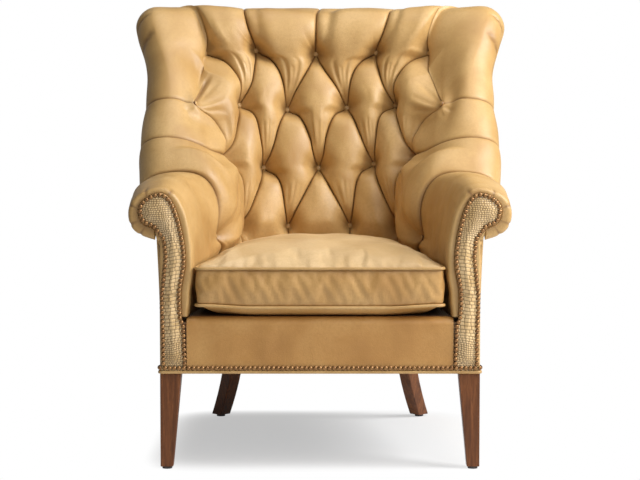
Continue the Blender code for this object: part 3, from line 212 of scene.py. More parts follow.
# The wing's smooth panel: the column where it ends, and how it swells and levels out as shares of its width
WING_PANEL_END = 6.25
WING_PANEL_SWELL = 0.12
WING_PANEL_LEVEL = 0.24
WING_BUTTON_FILL = 0.036
ARM_BUTTON_FILL = 0.028
LOBE_TRIM = 0.012
ARCH_LEAN = 0.012

# Buttons and nails, with profiles as (share of the radius, share of the height)
BUTTON_RADIUS = 0.0072
BUTTON_HEIGHT = 0.0066
BUTTON_LIFT = 0.0012
BUTTON_PROFILE = ((0.80, 0.0), (0.97, 0.22), (1.0, 0.42), (0.93, 0.66), (0.72, 0.86), (0.40, 0.96))
BUTTON_SEGMENTS = 16
NAIL_PITCH = 0.0104
NAIL_RADIUS = 0.0051
NAIL_HEIGHT = 0.0044
NAIL_TILT = 0.035
NAIL_PROFILE = ((0.96, 0.0), (1.0, 0.10), (0.97, 0.30), (0.85, 0.57), (0.62, 0.81), (0.32, 0.95))
NAIL_SEGMENTS = 12

# Arms and their embossed front panels
INNER_EDGE = 0.007
ARM_SLACK = 0.0016
ARM_SECTIONS = 61
ARM_FACE_DROP = 0.030
ARM_HOLLOW = 0.009
ARM_FRONT_DEPTH = 0.004
# How far the arm's leather stands out at its front, as (column, distance)
NOSING = ((4.0, 0.003), (4.25, 0.009), (4.6, 0.010), (5.0, 0.005), (5.4, 0.007), (5.9, 0.0))
# Gathers round the scroll: their columns, their widths in columns, and how deep they are
GATHERS = (5.75, 6.35, 6.85, 7.3, 7.65)
GATHER_WIDTH = 0.04
# Width of the painted shade in each gather
GATHER_SHADE_WIDTH = 0.03
GATHER_DEPTH = 0.0020
PANEL_CROWN = 0.007
PANEL_CROWN_REACH = 0.026
PANEL_SEAM_HEIGHT = 0.390
PANEL_SETBACK = 0.0006
SCALE_HEIGHT = 0.0011
SCALE_ROUND = 0.0016
SCALE_GRID = 0.0012
SCALE_SLOPE = 0.0022
SCALE_ROW_BOW = 0.0022
SCALE_ROW_WANDER = 0.0016
SCALE_JOINT_WANDER = 0.0012
# Width of the painted shade in the grooves between the scales
GROOVE_SHADE_WIDTH = 0.0013
# Sizes of a small scale and of a broad one
SCALE_ROW_HEIGHTS = (0.0046, 0.0080)
SCALE_WIDTHS = (0.0056, 0.0140)
LEAST_SCALE_WIDTH = 0.0052
# Heights between which the scales are broad, and over how much they turn broad
BROAD_FROM = 0.27
BROAD_TO = 0.525
BROAD_EASE = 0.05
RIM_ROLL = 0.005

# Base, border and outside panels
# Section of the folded edge under the base nails, as (distance out, height)
LIP_SECTION = (
    (-0.0015, 0.0),
    (0.0012, 0.0004),
    (0.0024, 0.002),
    (0.0026, 0.0045),
    (0.0018, 0.0068),
    (-0.0015, 0.008),
)
BORDER_ROUND = 0.018
BORDER_LAP = 0.0175
SHEET_SLACK = 0.0012
SHEET_THICKNESS = 0.004

# Cushion
SETTLING_FRAMES = 20
CUSHION_SLACK = 0.018
CUSHION_PRESSURE = 3.0
BOXING_CAP = 0.006
TOP_CAP = 0.0035
FINE_FOLDS = 0.0006
BROAD_FOLDS = 0.0008
SEAM_PUCKER = 0.0011
# Painted shade along the cushion's seams, 0 to 1
SEAM_SHADE = 0.45
TOP_UNEVENNESS = 0.0018
TOP_SINK = 0.003

# Stage
GLOSS_SHARE = 0.25
WORLD_STRENGTH = 0.06
FLOOR_HALF_SIZE = 14.0
# The part of the floor that shows the chair's shadow
SHADOW_HALF_WIDTH = 0.36
SHADOW_HALF_DEPTH = 0.39
LIGHT_AIM = (0, 0, 0.6)
# Lights as (name, place, size, power)
LIGHTS = (
    ("key", (2.4, -1.0, 2.3), 1.6, 120),
    ("fill", (1.2, -2.8, 2.1), 1.8, 27),
    ("top", (0.3, -0.6, 3.3), 1.8, 28),
)
CAMERA_DISTANCE = 4.0
CAMERA_HEIGHT = 0.78
FOCAL_PIXELS = 1818
HORIZON_PIXEL = 118
IMAGE_WIDTH = 640
IMAGE_HEIGHT = 480
SENSOR_WIDTH = 36

SIDES = (("left", -1), ("right", 1))
FORWARD = np.array([0, -1.0, 0])
BACKWARD = np.array([0, 1.0, 0])
UP = np.array([0, 0, 1.0])


# Small helpers
def unit(vector):
    vector = np.asarray(vector, float)
    return vector / np.linalg.norm(vector, axis=-1, keepdims=True)


def blend(first, second, share):
    return np.asarray(first, float) * (1 - share) + np.asarray(second, float) * share


def smooth(value):
    value = np.clip(value, 0, 1)
    return value * value * (3 - 2 * value)


def bell(value):
    """1 at 0, falling away smoothly on both sides."""
    return np.exp(-(value**2))


def mirrored(points, side):
    """The points as they are for the right side, or mirrored for the left."""
    points = np.array(points, float)
    points[..., 0] *= side
    return points


def spline(knots, values, at):
    """Natural cubic spline through the rows of values, one row per knot."""
    knots = np.asarray(knots, float)
    values = np.asarray(values, float)
    count = len(knots)
    step = np.diff(knots)
    matrix = np.eye(count)
    right = np.zeros((count, values.shape[1]))
    for i in range(1, count - 1):
        matrix[i, i - 1 : i + 2] = step[i - 1], 2 * (step[i - 1] + step[i]), step[i]
        slope_after = (values[i + 1] - values[i]) / step[i]
        slope_before = (values[i] - values[i - 1]) / step[i - 1]
        right[i] = 6 * (slope_after - slope_before)
    bend = np.linalg.solve(matrix, right)
    at = np.asarray(at, float)
    i = np.clip(np.searchsorted(knots, at) - 1, 0, count - 2)
    low = ((knots[i + 1] - at) / step[i])[:, None]
    high = ((at - knots[i]) / step[i])[:, None]
    square = (step[i] ** 2 / 6)[:, None]
    straight = low * values[i] + high * values[i + 1]
    return straight + ((low**3 - low) * bend[i] + (high**3 - high) * bend[i + 1]) * square


def chords(knots, values, at):
    """Straight lines between the rows of values, one row per knot."""
    knots = np.asarray(knots, float)
    i = np.clip(np.searchsorted(knots, at) - 1, 0, len(knots) - 2)
    share = ((at - knots[i]) / (knots[i + 1] - knots[i])).reshape((-1,) + (1,) * (values.ndim - 1))
    return values[i] * (1 - share) + values[i + 1] * share


def travelled(points):
    """Distance run along a line of points, up to each of them."""
    return np.concatenate([[0.0], np.cumsum(np.linalg.norm(np.diff(points, axis=0), axis=1))])


def spaced(points, count):
    """Points at equal distances along an open line of points."""
    points = np.asarray(points, float)
    length = travelled(points)
    at = np.linspace(0, length[-1], count)
    return np.stack([np.interp(at, length, points[:, k]) for k in range(points.shape[1])], -1)


def ripple(points, length, seed):
    """Soft unevenness, about -1 to 1, with waves of about the given length."""
    random = np.random.default_rng(seed)
    total = np.zeros(points.shape[:-1])
    for _ in range(7):
        direction = unit(random.normal(size=3))
        wave = 2 * math.pi / length * random.uniform(0.7, 1.5)
        total += np.sin(points @ direction * wave + random.uniform(0, 2 * math.pi))
    return total / 3


# Layout of the tufted back: the surface at the depth of the pleats, by column and row
def row_height(row):
    return DECK_TOP + LOW_ROW_ABOVE_DECK + (LAST_ROW - row) * ROW_PITCH


def back_depth(row):
    return BACK_DEPTH + (LAST_ROW - min(row, LAST_ROW)) * ROW_PITCH * math.tan(RECLINE)


def field_point(column, row):
    """A point of the flat field between the rolls; below the last row it drops straight down."""
    above = LAST_ROW - min(row, LAST_ROW)
    half = SEAT_HALF_REAR + SIDE_FLARE * above
    squeeze = (LAST_COLUMN * COLUMN_PITCH - half) / LAST_COLUMN**3
    wrap = WRAP - WRAP_LOSS * above
    out = column / LAST_COLUMN
    x = COLUMN_PITCH * column - squeeze * column**3
    lift = SIDE_PLEAT_LIFT.get(row, 0.0) * abs(out) ** 3
    return np.array([x, back_depth(row) - wrap * abs(out) ** 3, row_height(row) + lift])


def field_normal(column, row):
    step = 0.05
    along = field_point(column + step, row) - field_point(column - step, row)
    return unit(np.cross((0, -math.tan(RECLINE), -1), along))


def wing_centre(station):
    row, x, forward, rise = station[:4]
    return np.array([x, back_depth(row) - forward, row_height(row) + rise])


def arm_front_centre():
    return np.array([ARM_ROLL_X, FRONT_COVER + SEAM, ARM_ROLL_HEIGHT])


def top_centre(column):
    x = EAR_X * math.sin(math.radians(EAR_TURN * column))
    depth = back_depth(1) + TOP_ROLL_SETBACK - TOP_ROLL_BOW * (column / LAST_COLUMN) ** 2
    return np.array([x, depth, row_height(1) + TOP_ROLL_RISE])


def ear_centre():
    top = top_centre(0)
    return np.array([EAR_X, top[1] - EAR_FORWARD, top[2]])


def roll_angles(tuck, start=ROLL_START):
    """Angles round a roll, from where it leaves the field to its tuck."""
    return np.radians(np.linspace(start, tuck, 5))


def roll_points(centre, radius, out, crest, angles, fullness=1.0):
    """Points round a roll, from its inner side over the crest to the tuck on the outside."""
    points = []
    for angle in angles:
        across = -math.cos(angle) * (fullness if math.cos(angle) > 0 else 1.0)
        points.append(centre + radius * (across * out + math.sin(angle) * crest))
    return np.array(points)


def roll_frame(before, here, after):
    """Outward and crest directions of a roll that runs past three points."""
    tangent = unit(unit(after - here) + unit(here - before))
    out = unit(np.array([1.0, 0, 0]) - tangent[0] * tangent)
    crest = np.cross(out, tangent)
    return out, crest * (1 if crest[2] > 0 else -1)


def wing_frames():
    centres = [arm_front_centre()] + [wing_centre(s) for s in WING_STATIONS] + [ear_centre()]
    return [roll_frame(*centres[i - 1 : i + 2]) for i in range(1, len(centres) - 1)]


ROLL_STEP = 0.6
ROLL_COLUMNS = LAST_COLUMN + ROLL_STEP * np.arange(1, 6)
ROLL_ROWS = 1 - ROLL_STEP * np.arange(1, 6)
NET_COLUMNS = np.concatenate([np.arange(LAST_COLUMN + 1.0), ROLL_COLUMNS])
NET_ROWS = np.concatenate([np.arange(LAST_ROW, 0.0, -1), ROLL_ROWS])
FULL_COLUMNS = np.concatenate([-NET_COLUMNS[:0:-1], NET_COLUMNS])


def ear_surface(column, row, radius):
    """Points of the ear, where the side roll turns into the top roll, at arrays of column and row."""
    across = (column - LAST_COLUMN) / ROLL_STEP
    along = (1 - row) / ROLL_STEP
    ring = np.maximum(np.maximum(across, along), 1e-6)
    share = np.where(across >= along, along, 2 * ring - across) / (2 * ring)
    turn = np.clip(share, 0, 1)[..., None] * math.pi / 2
    angle = np.radians(EAR_START + (ring - 1) * (TOP_TUCK - EAR_START) / 4)[..., None]
    side_crest = wing_frames()[-1][1]
    crest = unit(side_crest * np.cos(turn) + UP * np.sin(turn))
    out = np.array([1.0, 0, 0]) * np.cos(turn) + BACKWARD * np.sin(turn)
    out = unit(out - (out * crest).sum(-1, keepdims=True) * crest)
    return ear_centre() + radius * (np.sin(angle) * crest - np.cos(angle) * out)


def build_net(padded):
    """Points of the half back by row and column: the leather when padded, else its inner face."""
    net = np.zeros((len(NET_ROWS), len(NET_COLUMNS), 3))
    flat = LAST_COLUMN + 1
    for i, row in enumerate(NET_ROWS[:LAST_ROW]):
        inset = 0.0 if padded else PAD_THICKNESS * (0.5 if row == 1 else 1.0)
        for j in range(flat):
            net[i, j] = field_point(j, row) - inset * field_normal(j, row)
    ear_start = EAR_START if padded else ROLL_START
    for station, (out, crest) in zip(WING_STATIONS, wing_frames()):
        angles = roll_angles(station[6], ear_start if station[0] == 1 else ROLL_START)
        radius = station[4] if padded else ROLL_HOLLOW
        fullness = station[5] if padded else 1.0
        net[LAST_ROW - station[0], flat:] = roll_points(
            wing_centre(station), radius, out, crest, angles, fullness
        )
    radius = TOP_ROLL_RADIUS if padded else ROLL_HOLLOW
    for j in range(flat):
        angles = roll_angles(TOP_TUCK, blend(ROLL_START, ear_start, smooth((j - 2) / 3)))
        net[LAST_ROW:, j] = roll_points(top_centre(j), radius, BACKWARD, UP, angles)
    columns, rows = np.meshgrid(ROLL_COLUMNS, ROLL_ROWS)
    net[LAST_ROW:, flat:] = ear_surface(columns, rows, radius)
    return net


LEATHER_NET = build_net(True)
INNER_NET = build_net(False)


def net_surface(net, column, row, through):
    """Points of a net at arrays of column and row, with the given way of joining its points.

    The joining curves are run by distance, so that they don't overshoot where the net is uneven.
    """
    order = np.argsort(NET_ROWS)
    rows, index = np.unique(np.minimum(row, LAST_ROW), return_inverse=True)
    lines = np.zeros((len(rows), len(NET_COLUMNS), 3))
    for j in range(len(NET_COLUMNS)):
        knots = travelled(net[order, j])
        lines[:, j] = through(knots, net[order, j], np.interp(rows, NET_ROWS[order], knots))
    points = np.zeros((len(column), 3))
    for k in range(len(rows)):
        here = index == k
        line = np.concatenate([mirrored(lines[k][:0:-1], -1), lines[k]])
        knots = travelled(line)
        points[here] = through(knots, line, np.interp(column[here], FULL_COLUMNS, knots))
    share = np.clip((row - LAST_ROW) / (BOTTOM_ROW - LAST_ROW), 0, 1)
    points[:, 2] = blend(points[:, 2], PAD_FOOT, share)
    return points


def leather_base(column, row):
    """The leather without its tufts, at arrays of column and row."""
    points = net_surface(LEATHER_NET, column, row, spline)
    out = np.abs(column)
    inside = smooth((out - LAST_COLUMN) / ROLL_STEP) * smooth((1 - row) / ROLL_STEP)
    ear = ear_surface(out, row, TOP_ROLL_RADIUS)
    ear[:, 0] *= np.sign(column)
    return blend(points, ear, inside[:, None])


def leather_normal(column, row):
    step = 0.02
    above = np.minimum(row, LAST_ROW - step)
    along = leather_base(column + step, above) - leather_base(column - step, above)
    down = leather_base(column, above + step) - leather_base(column, above - step)
    normal = unit(np.cross(down, along))
    normal[:, 2] *= 1 - smooth((row - LAST_ROW) / 0.3)
    return normal


# Tufting: pleats join the buttons and run on over the rolls
LATTICE_SCALE = np.array([COLUMN_PITCH, ROW_PITCH])


def button_places():
    places = []
    for row in range(1, LAST_ROW + 1):
        for column in range(-LAST_COLUMN, LAST_COLUMN + 1):
            if (column + row) % 2 == 1:
                places.append((column, row))
    return places


def pleat_lines():
    """Pleats as pairs of (column, row) ends. One more runs down to the right wing's upper button."""
    buttons = button_places()
    lines = [((4, 1), (5, 2))]
    for column, row in buttons:
        for step in (-1, 1):
            after = column + step
            if (after, row + 1) in buttons and abs(after) < LAST_COLUMN:
                lines.append(((column, row), (after, row + 1)))
        if row == 1:
            lines.append(((column, row), (column, -2.2)))
        if row == LAST_ROW:
            lines.append(((column, row), (column, BOTTOM_ROW + 0.2)))
    for side in (-1, 1):
        for column, row in ((5, 2), (4, 3), (5, 4)):
            lines.append(((side * column, row), (side * 8.3, row)))
    return lines


def soft_folds():
    """Lesser folds of the leather as (start, end, width, depth), on both sides of the middle."""
    folds = []
    for side in (-1, 1):
        for column in (0, 2):
            folds.append(((side * column + 0.30, 0.85), (side * column + 0.42, -0.3), 0.011, 0.0035))
        for (column, row), (end_column, end_row), width, depth in WING_FOLDS:
            folds.append(((side * column, row), (side * end_column, end_row), width, depth))
    for column, row in button_places():
        if row > 1 and abs(column) < LAST_COLUMN:
            depth = 0.0045 if row == 2 else 0.0026
            for lean in (-1, 1):
                start = (column + lean * 0.34, row - (0.95 if row == 2 else 0.70))
                folds.append((start, (column + lean * 0.07, row - 0.10), 0.0085, depth))
            folds.append(((column + 0.05, row - 0.75), (column, row - 0.12), 0.007, depth * 0.8))
    return folds


def sharp_creases():
    """Short creases with painted shade in them, as (start, end): two at each ear's edge and two above the
    left wing's button.
    """
    creases = [((-4.30, 1.44), (-4.97, 1.97)), ((-4.42, 1.46), (-4.97, 1.95))]
    for side in (-1, 1):
        creases.append(((side * 6.15, 0.56), (side * 7.3, 0.70)))
        creases.append(((side * 6.10, 0.82), (side * 7.2, 0.92)))
    return creases


def line_distance(point, start, end):
    """Distance of points from a line, share of the way along it, and which side they lie on."""
    start = np.array(start) * LATTICE_SCALE
    along = np.array(end) * LATTICE_SCALE - start
    away = point - start
    share = np.clip((away @ along) / (along @ along), 0, 1)
    distance = np.linalg.norm(away - share[:, None] * along, axis=1)
    below = (along[0] * away[:, 1] - along[1] * away[:, 0]) * along[0]
    return distance, share, below


def puff_size(column, row):
    """How far the leather stands out between pleats: most in the field, little over the rolls."""
    start = 3.9 + 1.1 * smooth((row - 3.0) / 0.4)
    side = smooth((np.abs(column) - start) / 1.2)
    top = smooth((0.9 - row) / 1.1)
    corner = smooth((np.abs(column) - 3.6) / 0.8) * smooth((1.75 - row) / 0.75)
    low = smooth((row - 3.9) / 0.5)
    size = PUFF + (LOW_PUFF - PUFF) * low
    return size + (ROLL_PUFF - size) * np.maximum(np.maximum(side, top), corner)


def button_fan(point, place, seed):
    """Wrinkles that run in to a button, strongest above it."""
    random = np.random.default_rng(seed)
    away = point - np.array(place) * LATTICE_SCALE
    distance = np.linalg.norm(away, axis=1) + 1e-9
    angle = np.arctan2(away[:, 1], away[:, 0])
    waves = np.zeros(len(point))
    for count in (7, 10, 13):
        waves += np.cos(count * angle + random.uniform(0, 2 * math.pi)) * random.uniform(0.5, 1.0)
    upward = np.clip(-away[:, 1] / distance, 0, 1)
    reach = 0.026 + 0.030 * upward
    fade = smooth((distance - 0.009) / 0.012) * bell(distance / reach)
    return FAN_DEPTH * fade * waves / 2


def tuft_shape(column, row):
    """Height of the leather over the surface of the pleats, and its painted shade, 0 to 1, darkest in pleats
    and at buttons.
    """
    point = np.stack([column, row], -1) * LATTICE_SCALE
    pillow = np.ones(len(column))
    slit = np.zeros(len(column))
    # Painted shade, 0 to 1: darkest along the pleats, in sharp creases and round the buttons
    crease_shade = np.zeros(len(column))
    for start, end in pleat_lines():
        distance, _, below = line_distance(point, start, end)
        reach = np.where(below > 1e-12, REACH_BELOW, REACH_ABOVE)
        reach = np.where(start[0] == end[0], REACH_BESIDE, reach)
        near = np.minimum(distance / reach, 1)
        pillow *= (1 - (1 - near) ** PILLOW_POWER) ** (1 / PILLOW_POWER)
        slit = np.maximum(slit, bell(distance / SLIT_WIDTH))
        crease_shade = np.maximum(crease_shade, bell(distance / CREASE_SHADE_WIDTH))
    dip = np.zeros(len(column))
    pit = np.zeros(len(column))
    fan = np.zeros(len(column))
    for k, place in enumerate(button_places()):
        distance = np.linalg.norm(point - np.array(place) * LATTICE_SCALE, axis=1)
        dip = np.maximum(dip, bell(distance / BUTTON_REACH))
        pit = np.maximum(pit, bell(distance / PIT_REACH))
        fan += button_fan(point, place, k)
    size = puff_size(column, row)
    fullness = size / PUFF
    floor = PLEAT_SHARE * (1 - pit)
    height = PLEAT_RISE * fullness * (1 - dip) + FULLNESS * size * (floor + (1 - floor) * pillow)
    height += fan * blend(0.4, 1.0, fullness) - BUTTON_SINK * fullness * dip
    height -= SLIT_DEPTH * slit * blend(0.5, 1.0, fullness)
    for start, end, width, depth in soft_folds():
        distance, share, _ = line_distance(point, start, end)
        height -= depth * bell(distance / width) * np.sin(math.pi * share) ** 0.5
    crease_shade *= blend(THIN_SHADE, FULL_SHADE, fullness)
    for start, end in sharp_creases():
        distance, share, _ = line_distance(point, start, end)
        depth = bell(distance / SHARP_CREASE_WIDTH) * smooth(share / 0.4)
        height -= SHARP_CREASE_DEPTH * depth
        crease_shade = np.maximum(crease_shade, SHARP_SHADE * depth)
    return height, np.maximum(crease_shade, BUTTON_SHADE * dip**2)


def bent_column(column, row):
    """Columns shifted so that a pleat which falls towards the middle leaves its upper button sideways.

    Over the top roll the pleats rise straight and then lean out.
    """
    out = np.abs(column)
    upper = np.floor(row)
    down = np.maximum(row - upper, 1e-6)
    place = (-out - (upper + 1) % 2) % 2
    before = (place + down) / (2 * down)
    between = (2 - down - place) / np.maximum(2 - 2 * down, 1e-6)
    after = (place - 2 + down) / (2 * down)
    share = np.where(place < down, before, np.where(place > 2 - down, after, between))
    middle = smooth(out / 0.45) * smooth((LAST_COLUMN + 0.8 - out) / 0.8)
    arch = smooth(down / 0.14) * down**0.45 * (1 - down) ** 1.3 / 0.366
    shift = PLEAT_BEND * arch * share * middle
    shift = np.where((row > 1) & (row < LAST_ROW), shift, 0)
    over_top = (np.minimum(out, 4) / 4) ** 2.2 * smooth((6.5 - out) / 1.5)
    rise = np.sin(math.pi * np.clip((1 - row) / 1.2, 0, 1))
    shift = shift + TOP_PLEAT_BEND * over_top * np.maximum(rise, 0) ** 0.8
    lean = smooth((0.6 - row) / 0.6) * (np.minimum(out, 4) / 4) ** 6 * smooth((6.5 - out) / 2.0)
    shift = shift - TOP_PLEAT_LEAN * lean
    return column - np.sign(column) * shift


def bent_row(column, row):
    """Rows shifted so that the pleat from the wing's button runs low over the roll."""
    between = np.sin(math.pi * (np.clip(row, 1, 3) - 1) / 2) ** 2
    return row + WING_PLEAT_DROP * smooth((np.abs(column) - LAST_COLUMN) / 0.7) * between


def panel_start(row):
    """Column at which the wing's smooth panel starts: at the pleats to the ear and to the wing's button."""
    return 4 + np.clip(row - 1, 0, 1)


def panel_share(column, row):
    """1 where the wing is the smooth panel, 0 where it follows the lattice."""
    out = np.abs(column)
    inside = (out > panel_start(row)) & (out < WING_PANEL_END)
    unpleated = smooth((row - 1) / 0.2) * (column < 0)
    eased = blend(1.0, smooth((out - panel_start(row)) / 0.7), unpleated)
    return smooth((2.35 - row) / 0.6) * smooth((row + 0.3) / 0.5) * eased * inside


def shaped_base(column, row):
    """The leather without its tufts, bent along its pleats, with the wing's panel as one swelling sheet.

    From its pleat the panel runs forward and on into the roll.
    """
    base = leather_base(bent_column(column, row), bent_row(column, row))
    share = panel_share(column, row)
    here = share > 0
    row = row[here]
    side = np.where(column[here] < 0, -1.0, 1.0)
    start = panel_start(row)
    end = np.full(len(row), WING_PANEL_END)
    across = ((np.abs(column[here]) - start) / (end - start))[:, None]
    first = leather_base(bent_column(side * start, row), bent_row(start, row))
    last = leather_base(bent_column(side * end, row), bent_row(end, row))
    ahead = leather_base(bent_column(side * (end + 0.1), row), bent_row(end + 0.1, row))
    span = np.linalg.norm(last - first, axis=1, keepdims=True)
    swell = first + FORWARD * WING_PANEL_SWELL * span
    level = last - unit(ahead - last) * WING_PANEL_LEVEL * span
    back = 1 - across
    curve = back**3 * first + 3 * back**2 * across * swell
    curve = curve + 3 * back * across**2 * level + across**3 * last
    base[here] = blend(base[here], curve, share[here][:, None])
    return base


def shaped_normal(column, row):
    """Directions in which the leather is padded out."""
    normal = leather_normal(bent_column(column, row), bent_row(column, row))
    out = np.abs(column)
    inner = smooth((out - panel_start(row)) / 0.5)
    share = panel_share(column, row) * inner * smooth((WING_PANEL_END - out) / 0.3)
    here = share > 0
    column = column[here]
    row = row[here]
    step = 0.03
    along = shaped_base(column + step, row) - shaped_base(column - step, row)
    down = shaped_base(column, row + step) - shaped_base(column, row - step)
    normal[here] = unit(blend(normal[here], unit(np.cross(down, along)), share[here][:, None]))
    return normal


def button_padding(column, row):
    """A move of the leather round the wing's buttons, so that they show: forward, and the lobe outward."""
    out = np.abs(column)
    width = np.where(out < LAST_COLUMN, 0.8, 0.5)
    across = bell((out - LAST_COLUMN) / width)
    upper = WING_BUTTON_FILL * bell((row - 2) / 0.32)
    lower = ARM_BUTTON_FILL * bell((row - 4) / 0.40) * above_cushion(row)
    lobe = np.exp(-(((out - 5.55) / 0.4) ** 2) - ((row - 2.2) / 0.33) ** 2)
    arch = np.exp(-(((out - 4.78) / 0.5) ** 2) - ((row - 2.22) / 0.36) ** 2)
    outward = (LOBE_TRIM * lobe - ARCH_LEAN * arch) * np.sign(column)
    return np.stack([outward, -across * (upper + lower), np.zeros(len(out))], -1)


def above_cushion(row):
    """1 above the seat cushion's edge, 0 where the leather faces the cushion."""
    return 1 - smooth((row - 4.05) / 0.3)


def hand_tufting(column, row):
    """A move of the leather with the buttons that sit off their regular places."""
    point = np.stack([column, row], -1) * LATTICE_SCALE
    total = np.zeros((len(column), 3))
    weight = np.full(len(column), 0.1)
    for place in button_places():
        across, up = BUTTON_SHIFTS.get(place, (0, 0))
        distance = np.linalg.norm(point - np.array(place) * LATTICE_SCALE, axis=1)
        near = bell(distance / SHIFT_REACH)
        total += near[:, None] * np.array([across, 0, up])
        weight += near
    return total * (above_cushion(row) / weight)[:, None]


def leather_surface(column, row):
    """Points of the tufted leather and their painted shade, darkest in the pleats and round the buttons."""
    height, crease_shade = tuft_shape(column, row)
    base = shaped_base(column, row)
    uneven = UNEVEN_DEPTH * ripple(base, 0.09, 3) * smooth((LAST_ROW + 0.8 - row) / 0.5)
    relief = shaped_normal(column, row) * (height + uneven)[:, None]
    return base + relief + button_padding(column, row) + hand_tufting(column, row), crease_shade


# Materials
def new_material(name, roughness, metallic=0.0):
    material = bpy.data.materials.new(name)
    material.use_nodes = True
    shader = material.node_tree.nodes["Principled BSDF"]
    shader.inputs["Roughness"].default_value = roughness
    shader.inputs["Metallic"].default_value = metallic
    return material, shader


def add_node(material, kind, **inputs):
    node = material.node_tree.nodes.new(kind)
    for name, value in inputs.items():
        node.inputs[name.replace("_", " ")].default_value = value
    return node


def link(material, source, target):
    material.node_tree.links.new(source, target)


def object_place(material, scale=(1, 1, 1)):
    """Texture coordinates in metres, stretched by a scale."""
    place = add_node(material, "ShaderNodeTexCoord")
    mapping = add_node(material, "ShaderNodeMapping", Scale=scale)
    link(material, place.outputs["Object"], mapping.inputs["Vector"])
    return mapping.outputs["Vector"]


def noise(material, place, scale, detail=3.0, distortion=0.0):
    node = add_node(material, "ShaderNodeTexNoise", Scale=scale, Detail=detail, Distortion=distortion)
    link(material, place, node.inputs["Vector"])
    return node.outputs["Fac"]


def colour_ramp(material, factor, stops):
    """A ramp with stops of (position, colour)."""
    ramp = add_node(material, "ShaderNodeValToRGB")
    elements = ramp.color_ramp.elements
    while len(elements) < len(stops):
        elements.new(0.5)
    for element, (position, colour) in zip(elements, stops):
        element.position = position
        element.color = (*colour, 1)
    link(material, factor, ramp.inputs["Fac"])
    return ramp.outputs["Color"]


def mixed(material, factor, first, second):
    """Two colours mixed by a factor; each is a socket or a plain colour."""
    mix = material.node_tree.nodes.new("ShaderNodeMix")
    mix.data_type = "RGBA"
    for index, value in ((0, factor), (6, first), (7, second)):
        if isinstance(value, bpy.types.NodeSocket):
            link(material, value, mix.inputs[index])
        elif index == 0:
            mix.inputs[index].default_value = value
        else:
            mix.inputs[index].default_value = (*value, 1)
    return mix.outputs[2]


def ranged(material, value, low, high):
    """A 0 to 1 value spread between two limits."""
    node = add_node(material, "ShaderNodeMapRange")
    node.inputs["From Min"].default_value = 0.3
    node.inputs["From Max"].default_value = 0.7
    node.inputs["To Min"].default_value = low
    node.inputs["To Max"].default_value = high
    link(material, value, node.inputs["Value"])
    return node.outputs["Result"]


def bumped(material, shader, heights):
    """Fine relief from pairs of (height socket, depth in metres)."""
    normal = None
    for height, depth in heights:
        bump = add_node(material, "ShaderNodeBump", Strength=1.0, Distance=depth)
        link(material, height, bump.inputs["Height"])
        if normal is not None:
            link(material, normal, bump.inputs["Normal"])
        normal = bump.outputs["Normal"]
    link(material, normal, shader.inputs["Normal"])


def attribute(material, name):
    node = add_node(material, "ShaderNodeAttribute")
    node.attribute_name = name
    return node.outputs["Fac"]


def apply_finish(material, shader, colour, wear, limits, heights):
    """The colour, a roughness between limits by an uneven wear, and fine relief."""
    link(material, colour, shader.inputs["Base Color"])
    link(material, ranged(material, wear, *limits), shader.inputs["Roughness"])
    bumped(material, shader, heights)


def leather_material(name, dark, middle, light, crease_shade):
    """Aniline leather: cloudy dye, painted shade in its creases, fine pores and a soft gloss, uneven with
    wear.
    """
    material, shader = new_material(name, 0.42)
    shader.inputs["Specular IOR Level"].default_value = 0.55
    place = object_place(material)
    clouds = noise(material, place, 9.0, 4.0, 0.4)
    dye = colour_ramp(material, clouds, ((0.28, dark), (0.5, middle), (0.74, light)))
    specks = noise(material, place, 160.0, 4.0)
    flecks = colour_ramp(material, specks, ((0.42, (0, 0, 0)), (0.72, (0.35,) * 3)))
    dye = mixed(material, flecks, dye, dark)
    # Painted shade: the dye turns to the shade colour where the points' shade attribute is high
    dye = mixed(material, attribute(material, "crease_shade"), dye, crease_shade)
    pores = add_node(material, "ShaderNodeTexVoronoi", Scale=900.0)
    link(material, place, pores.inputs["Vector"])
    grain = noise(material, place, 330.0, 3.0)
    heights = ((grain, 0.0004), (pores.outputs["Distance"], 0.00018))
    apply_finish(material, shader, dye, noise(material, place, 26.0), (0.36, 0.50), heights)
    return material


def embossed_material():
    """Reptile-grained leather: pale scales with an uneven gloss, and painted shade in the grooves between
    them.
    """
    material, shader = new_material("embossed_leather_finish", 0.34)
    place = object_place(material)
    clouds = noise(material, place, 22.0, 3.0)
    dye = colour_ramp(material, clouds, ((0.3, (0.64, 0.42, 0.175)), (0.7, (0.90, 0.66, 0.36))))
    # Painted shade in the grooves, where the points' shade attribute is high
    dye = mixed(material, attribute(material, "crease_shade"), dye, (0.21, 0.122, 0.050))
    grain = noise(material, place, 420.0, 3.0)
    apply_finish(material, shader, dye, noise(material, place, 60.0), (0.17, 0.30), ((grain, 0.00025),))
    return material


def bronze_material():
    """Antique nail heads: brown patina, bright crowns, and a near-black rim that is partly darker patina and
    partly painted shade where the head meets the leather.
    """
    material, shader = new_material("bronze_nail_finish", 0.3, 0.55)
    place = object_place(material)
    patina = noise(material, place, 150.0, 3.0)
    metal = colour_ramp(material, patina, ((0.3, (0.22, 0.100, 0.034)), (0.65, (0.38, 0.200, 0.072))))
    # The rim: a darker patina and painted shade where the head meets the leather
    metal = mixed(material, attribute(material, "crease_shade"), metal, (0.025, 0.010, 0.004))
    grain = noise(material, place, 500.0, 2.0)
    apply_finish(material, shader, metal, patina, (0.24, 0.34), ((grain, 0.0001),))
    return material


